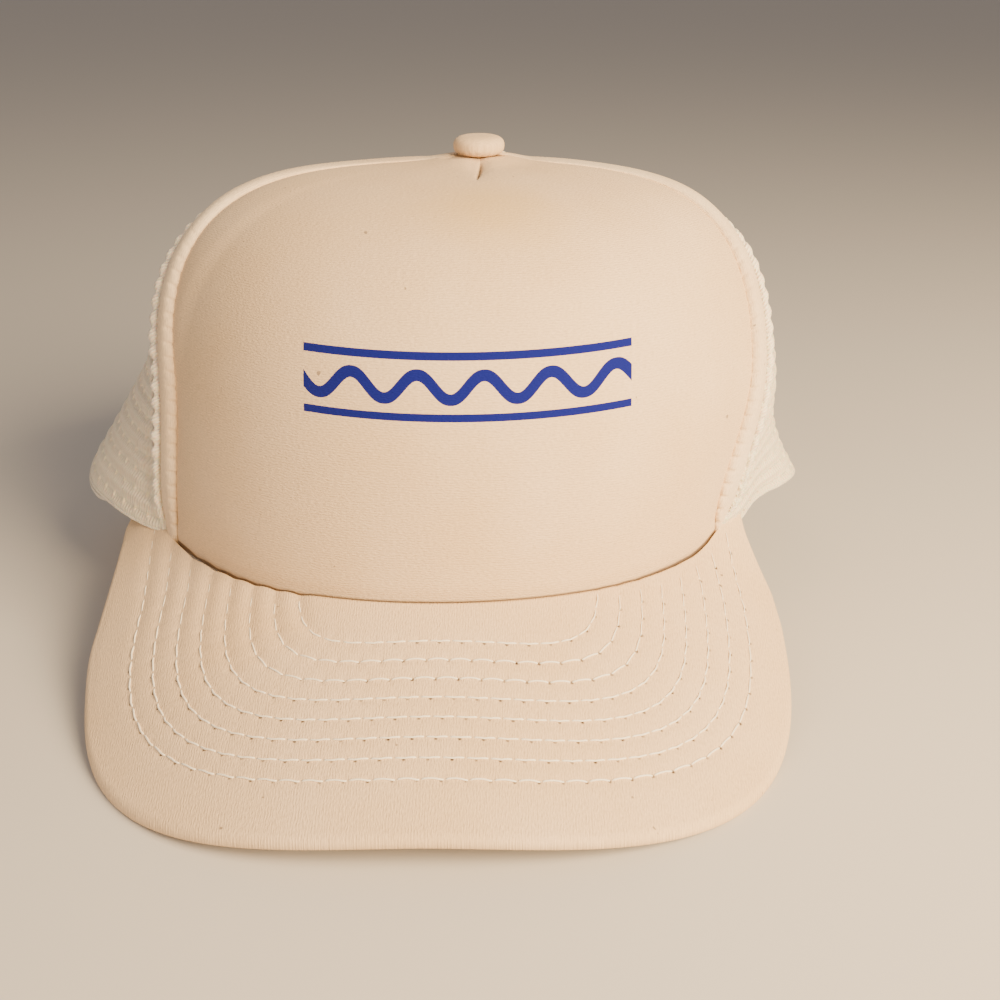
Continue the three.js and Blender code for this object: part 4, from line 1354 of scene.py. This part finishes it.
def tip_lift(azimuth, beyond):
    """How far the peak climbs the crown at its two ends, fading with distance from the seam."""
    most = np.where(azimuth < 0, TIP_CLIMB[-1], TIP_CLIMB[1])
    return most * turn_ramp(azimuth, 48, 12) * (1 - ramp(beyond, 0, 16))


def peak_threads():
    """Rows of stitches on the peak: each stitch is bowed towards the crown, and on the -X side the
    rows sink where they run into it. Beside the front the threads are thinner."""
    thread = bpy.context.scene.cap_thread
    sewn = []
    for index in range(bpy.context.scene.cap_peak.rows):
        path = stitch_row(index)
        lengths = path_lengths(path)
        phase = (lengths / thread.peak_pitch - (lengths[-1] / thread.peak_pitch % 1) / 2) % 1
        along = unit(np.gradient(path, axis=0))
        toward_crown = np.stack([along[:, 1], -along[:, 0]], -1)
        toward_crown *= -np.sign((toward_crown * path).sum(-1, keepdims=True))
        bowed = path + toward_crown * (thread.bow * np.sin(np.pi * phase))[:, None]
        relief, _, _ = peak_relief(path[:, 0], path[:, 1])
        beyond = np.hypot(*path.T) - PEAK_INNER
        turned = np.degrees(np.arctan2(path[:, 0], -path[:, 1]))
        buried = 0.3 * MM * np.exp(-(beyond / (20 * MM)) ** 2) * ramp(-path[:, 0], 0, 40)
        ground = peak_height(*path.T) + relief + tip_lift(turned, beyond) + 0.12 * MM - buried
        place = np.stack([bowed[:, 0], bowed[:, 1], ground], -1) + ORIGIN
        ones = np.ones(len(path))
        slope = unit(np.stack([2 * PEAK_ARCH * path[:, 0], -PEAK_SLOPE * ones, ones], -1))
        beside = turn_ramp(turned, 18, 12) * (1 - ramp(beyond, 5, 25))
        radius = thread.radius * (1 - 0.42 * beside)
        sewn.append(stitch_tubes(
            place, slope, thread.peak_pitch, radius, lift=0.17 * MM, gap=0.2 * MM, sink=0.35 * MM))
    return sewn


class CAP_OT_peak(bpy.types.Operator):
    """Peak: a cloth-covered board with a rounded lip, quilted by rows of stitching."""

    bl_idname = "cap.peak"
    bl_label = "Peak"

    def execute(self, context):
        peak = context.scene.cap_peak
        azimuth = np.linspace(-PEAK_TIP_END[-1], PEAK_TIP_END[1], 461)
        first = np.where(azimuth < 0, PEAK_TIP_START[-1], PEAK_TIP_START[1])
        last = np.where(azimuth < 0, PEAK_TIP_END[-1], PEAK_TIP_END[1])
        narrowing = turn_ramp(azimuth, first, last - first)
        tucked = turn_ramp(azimuth, 62.5, 7)
        tucked = np.where(azimuth < 0, (tucked + smooth_step((-azimuth - 69) / 4)) / 2, tucked)
        bumps = sum(
            rise * np.exp(-((azimuth - middle) / BUMP_WIDTH) ** 2) for middle, rise in PEAK_BUMPS)
        inner = PEAK_INNER
        wider = (peak_reach(azimuth) - inner - TIP_WIDTH) * (1 - narrowing)
        outer = inner + TIP_WIDTH + wider + bumps
        lip = np.minimum(peak.lip, (outer - inner) / 4)
        thickness = peak.thickness + (TIP_THICKNESS - peak.thickness) * narrowing
        flat = outer - lip
        # Rings from the crown outwards over the top, round the lip and back underneath
        rows = 120
        top_radius = inner + (flat[:, None] - inner) * np.linspace(0, 1, rows)[None, :]
        turn = np.linspace(0, np.pi / 2, 6)[1:][None, :]
        lip_radius = flat[:, None] + lip[:, None] * np.sin(turn)
        lip_drop = lip[:, None] * (1 - np.cos(turn))
        low_radius = flat[:, None] + lip[:, None] * np.cos(turn[:, :-1])
        low_drop = thickness[:, None] - lip[:, None] * (1 - np.sin(turn[:, :-1]))
        under_radius = flat[:, None] + (inner - flat[:, None]) * np.linspace(0, 1, 26)[None, :]
        radius = np.concatenate([top_radius, lip_radius, low_radius, under_radius], axis=1)
        drop = np.concatenate([
            np.zeros_like(top_radius), lip_drop, low_drop,
            np.broadcast_to(thickness[:, None], under_radius.shape)], axis=1)
        sine, cosine = np.sin(np.radians(azimuth))[:, None], np.cos(np.radians(azimuth))[:, None]
        x, y = radius * sine, -radius * cosine
        z = peak_height(x, y) - TIP_DROP * tucked[:, None] - drop
        z += tip_lift(azimuth[:, None], radius - inner)
        relief, distance, count = peak_relief(x[:, :rows], y[:, :rows])
        z[:, :rows] += relief * smooth_step((flat[:, None] - top_radius) / (3 * MM))
        points = np.stack([x, y, z], -1) + ORIGIN
        uvs = np.stack([y, x], -1).reshape(-1, 2)
        # Woven polyester with painted shade in its needle holes
        material = woven_polyester("Woven polyester on board", with_needle_hole_shade=True)
        piece = make_piece("peak_cloth", [capped(points)], material, uvs)
        stitching = np.full((*radius.shape, 2), 0.5)
        stitching[:, :rows, 0] = count
        stitching[:, :rows, 1] = distance
        add_uv_map(piece, "Stitching", stitching.reshape(-1, 2))
        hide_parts("peak")
        stitches = make_piece("peak_stitches", peak_threads(), spun_thread())
        return {"FINISHED"}


class CAP_OT_sweatband(bpy.types.Operator):
    """Sweatband: a folded cotton band inside the rim, whose fold shows as a thin line under the
    net."""

    bl_idname = "cap.sweatband"
    bl_label = "Sweatband"

    def execute(self, context):
        thickness, height = 1.2 * MM, 26 * MM
        end = REAR - np.degrees((OPENING_HALF_WIDTH + TAPE_WIDTH) / section(RIM, REAR))
        azimuth = np.linspace(-end, end, 361)[:, None]
        fold = turn_ramp(azimuth, 71, 7)
        inset = 0.5 * MM + 2.2 * MM * (1 - turn_ramp(azimuth, 58, 6))
        hang = np.where(azimuth < 0, 1, 0.3)
        inner = inset + thickness
        rises = np.linspace(height, 0, 13)[:-1][None, :]
        up = share_at_rise(azimuth, rises)
        wave = 0.1 * MM * ripple(azimuth / 9, rises / (30 * MM), 23)
        drawn = 2.2 * MM * (1 - turn_ramp(azimuth, 68, 8)) * ramp(rises, 2, 16)
        drawn = np.maximum(inset, np.minimum(inset + drawn, 2.8 * MM)) - inset
        face = crown_point(azimuth, up, inset + drawn + wave)
        back = crown_point(azimuth, up, inner + drawn + wave)[:, ::-1]
        # Each row: depth, how far that depth is folded out, rise where plain and drop where folded
        lips = (
            (inset, 0, 1 * MM, 0.9 * MM),
            (inset, 0.9, 0.9 * MM, 0.8 * MM),
            (inset, 1, 0.8 * MM, 1.1 * MM),
            (inset, 1, 0.6 * MM, 1.7 * MM),
            (inset, 0.9, 0.5 * MM, 2.0 * MM),
            (inner, 0, 0.4 * MM, 2 * MM),
        )
        edge = []
        for plain, folded, rise, drop in lips:
            depth = plain + folded * (-0.2 * MM - plain) * fold
            lift = np.array([0, 0, 1]) * (rise * (1 - fold) - drop * hang * fold)[..., None]
            edge.append(crown_point(azimuth, np.zeros_like(azimuth), depth) + lift)
        rings = np.concatenate([face, *edge, back], axis=1)
        across = np.arange(rings.shape[1]) * 2 * MM
        uv = np.stack(np.broadcast_arrays(azimuth * 1.6 * MM, across), -1).reshape(-1, 2)
        band = make_piece("sweatband_cloth", [capped(rings)], twill_tape("Cotton twill band"), uv)
        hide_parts("sweatband")
        return {"FINISHED"}


class CAP_OT_rear_trim(bpy.types.Operator):
    """Tape round the rear opening, sewn on with two rows of stitches."""

    bl_idname = "cap.rear_trim"
    bl_label = "Rear trim"

    def execute(self, context):
        thread = context.scene.cap_thread
        angle = np.linspace(0, np.pi, 181)[:, None]
        margin = TAPE_WIDTH * (1 - np.cos(np.linspace(0, np.pi, 13))) / 2
        azimuth, share = opening_point(angle, margin[None, :])
        bulge = 0.8 * MM * (1 - np.abs(2 * margin / TAPE_WIDTH - 1) ** 4)[None, :] ** 0.5
        outer = crown_point(azimuth, share, -bulge)
        inner = crown_point(azimuth, share, 1.1 * MM)
        uvs = np.concatenate([panel_uv(outer).reshape(-1, 2)] * 2)
        material = twill_tape("Cotton twill tape")
        tape = make_piece("rear_edge_tape_cloth", [shell(outer, inner)], material, uvs)
        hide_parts("rear_edge_tape")
        rows = []
        for column in (2, 10):
            path = outer[:, column]
            normals = -inward(azimuth[:, column], share[:, column])
            rows.append(stitch_tubes(
                path, normals, thread.fine_pitch, radius=0.22 * MM, lift=0.15 * MM, gap=0.3 * MM,
                sink=0.2 * MM))
        stitches = make_piece("rear_edge_tape_stitches", rows, spun_thread())
        return {"FINISHED"}


class CAP_OT_button(bpy.types.Operator):
    """Button: a cloth-covered dome, pressed over a metal cap, with faint gathers under its edge."""

    bl_idname = "cap.button"
    bl_label = "Top button"

    def execute(self, context):
        low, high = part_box("top_button")
        bottom = low.z - 0.7 * MM
        centre = np.array([(low.x + high.x) / 2, (low.y + high.y) / 2, bottom])
        radius = (high.x - low.x) / 2
        height = high.z - 0.6 * MM - bottom
        rings, sides = 41, 96
        turn = np.linspace(0, 2 * np.pi, sides + 1)[:-1][None, :]
        angle = np.linspace(-np.pi / 2, np.pi / 2, rings)[:, None]
        flat = np.abs(np.cos(angle)) ** 0.5 * radius
        rise = height / 2 * (1 + signed_power(np.sin(angle), 0.8))
        gathers = 1 - 0.012 * (1 + np.cos(turn * 22)) * smooth_step(-np.sin(angle) * 1.6)
        x = centre[0] + flat * gathers * np.cos(turn)
        y = centre[1] + flat * gathers * np.sin(turn)
        z = centre[2] + rise + 0 * turn
        points = np.stack([x, y, z], -1)
        faces = grid_quads(rings, sides, close_columns=True)
        uvs = np.stack([x - centre[0], y - centre[1]], -1).reshape(-1, 2)
        material = woven_polyester("Woven polyester on a metal cap")
        dome = (points.reshape(-1, 3), faces)
        button = make_piece("top_button_cloth", [dome], material, uvs, weld=0.005 * MM)
        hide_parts("top_button")
        return {"FINISHED"}


class CAP_OT_snap_strap(bpy.types.Operator):
    """Snap strap: the moulded closure keeps its solid and gets its plastic."""

    bl_idname = "cap.snap_strap"
    bl_label = "Snap strap"

    def execute(self, context):
        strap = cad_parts["snap_strap"]
        strap.data.materials.clear()
        strap.data.materials.append(moulded_polyethylene())
        return {"FINISHED"}


class CAP_OT_stage(bpy.types.Operator):
    """Pale floor, soft lights from the upper right and left, and the camera."""

    bl_idname = "cap.stage"
    bl_label = "Stage"

    def execute(self, context):
        stage = context.scene.cap_stage
        colours = context.scene.cap_colours
        half = FLOOR_WIDTH / 2
        corners = [(-half, -half, 0), (half, -half, 0), (half, half, 0), (-half, half, 0)]
        mesh = bpy.data.meshes.new("studio_floor")
        mesh.from_pydata(corners, [], [(0, 1, 2, 3)])
        floor = bpy.data.objects.new("studio_floor", mesh)
        context.scene.collection.objects.link(floor)
        material, _, shader = new_material("Matt studio paper")
        shader.inputs["Base Color"].default_value = linear(colours.floor)
        shader.inputs["Roughness"].default_value = 0.9
        mesh.materials.append(material)
        self.add_light("key_light", (0.48, -0.46, 0.44), 0.45, stage.key_power, (1.0, 0.76, 0.46))
        self.add_light("fill_light", (-0.55, -0.45, 0.45), 0.8, stage.fill_power, (1.0, 0.89, 0.82))
        world = context.scene.world or bpy.data.worlds.new("Studio surround")
        context.scene.world = world
        world.use_nodes = True
        background = world.node_tree.nodes["Background"]
        background.inputs["Color"].default_value = linear("#efe3da")
        background.inputs["Strength"].default_value = stage.world_strength
        camera_data = bpy.data.cameras.new("camera")
        camera_data.lens = stage.lens
        camera_data.sensor_width = 36
        camera = bpy.data.objects.new("camera", camera_data)
        context.scene.collection.objects.link(camera)
        camera.location = Vector(ORIGIN) + Vector(stage.camera_place)
        camera.rotation_euler = (math.pi / 2 - stage.camera_pitch, 0, 0)
        context.scene.camera = camera
        return {"FINISHED"}

    def add_light(self, name, place, size, power, colour):
        """A square area light aimed at the crown."""
        data = bpy.data.lights.new(name, "AREA")
        data.size = size
        data.energy = power
        data.color = colour
        light = bpy.data.objects.new(name, data)
        bpy.context.scene.collection.objects.link(light)
        light.location = place
        target = Vector((0, 0, 0.07))
        light.rotation_euler = (target - light.location).to_track_quat("-Z", "Y").to_euler()


PROPERTY_GROUPS = {
    "cap_front": FrontSettings,
    "cap_band": BandSettings,
    "cap_net": NetSettings,
    "cap_peak": PeakSettings,
    "cap_thread": ThreadSettings,
    "cap_print": PrintSettings,
    "cap_colours": ColourSettings,
    "cap_stage": StageSettings,
}
OPERATORS = (
    CAP_OT_front_panel,
    CAP_OT_seam_bands,
    CAP_OT_net_panels,
    CAP_OT_peak,
    CAP_OT_sweatband,
    CAP_OT_rear_trim,
    CAP_OT_button,
    CAP_OT_snap_strap,
    CAP_OT_stage,
)


class CAP_PT_builder(bpy.types.Panel):
    """Buttons for each group of pieces, and their settings."""

    bl_idname = "CAP_PT_builder"
    bl_label = "Trucker cap"
    bl_space_type = "VIEW_3D"
    bl_region_type = "UI"
    bl_category = "Cap"

    def draw(self, context):
        for operator in OPERATORS:
            self.layout.operator(operator.bl_idname)
        for name, group in PROPERTY_GROUPS.items():
            box = self.layout.box()
            for key in group.__annotations__:
                box.prop(getattr(context.scene, name), key)


def register():
    """Registers every class and hangs the settings on the scene."""
    for cls in (*PROPERTY_GROUPS.values(), *OPERATORS, CAP_PT_builder):
        bpy.utils.register_class(cls)
    for name, group in PROPERTY_GROUPS.items():
        setattr(bpy.types.Scene, name, PointerProperty(type=group))


def unregister():
    """Takes the settings and the classes away again."""
    for name in PROPERTY_GROUPS:
        delattr(bpy.types.Scene, name)
    for cls in reversed((*PROPERTY_GROUPS.values(), *OPERATORS, CAP_PT_builder)):
        bpy.utils.unregister_class(cls)


def main():
    """Builds every piece, then the stage."""
    register()
    for operator in OPERATORS:
        group, name = operator.bl_idname.split(".")
        getattr(getattr(bpy.ops, group), name)()


if __name__ == "__main__":
    main()
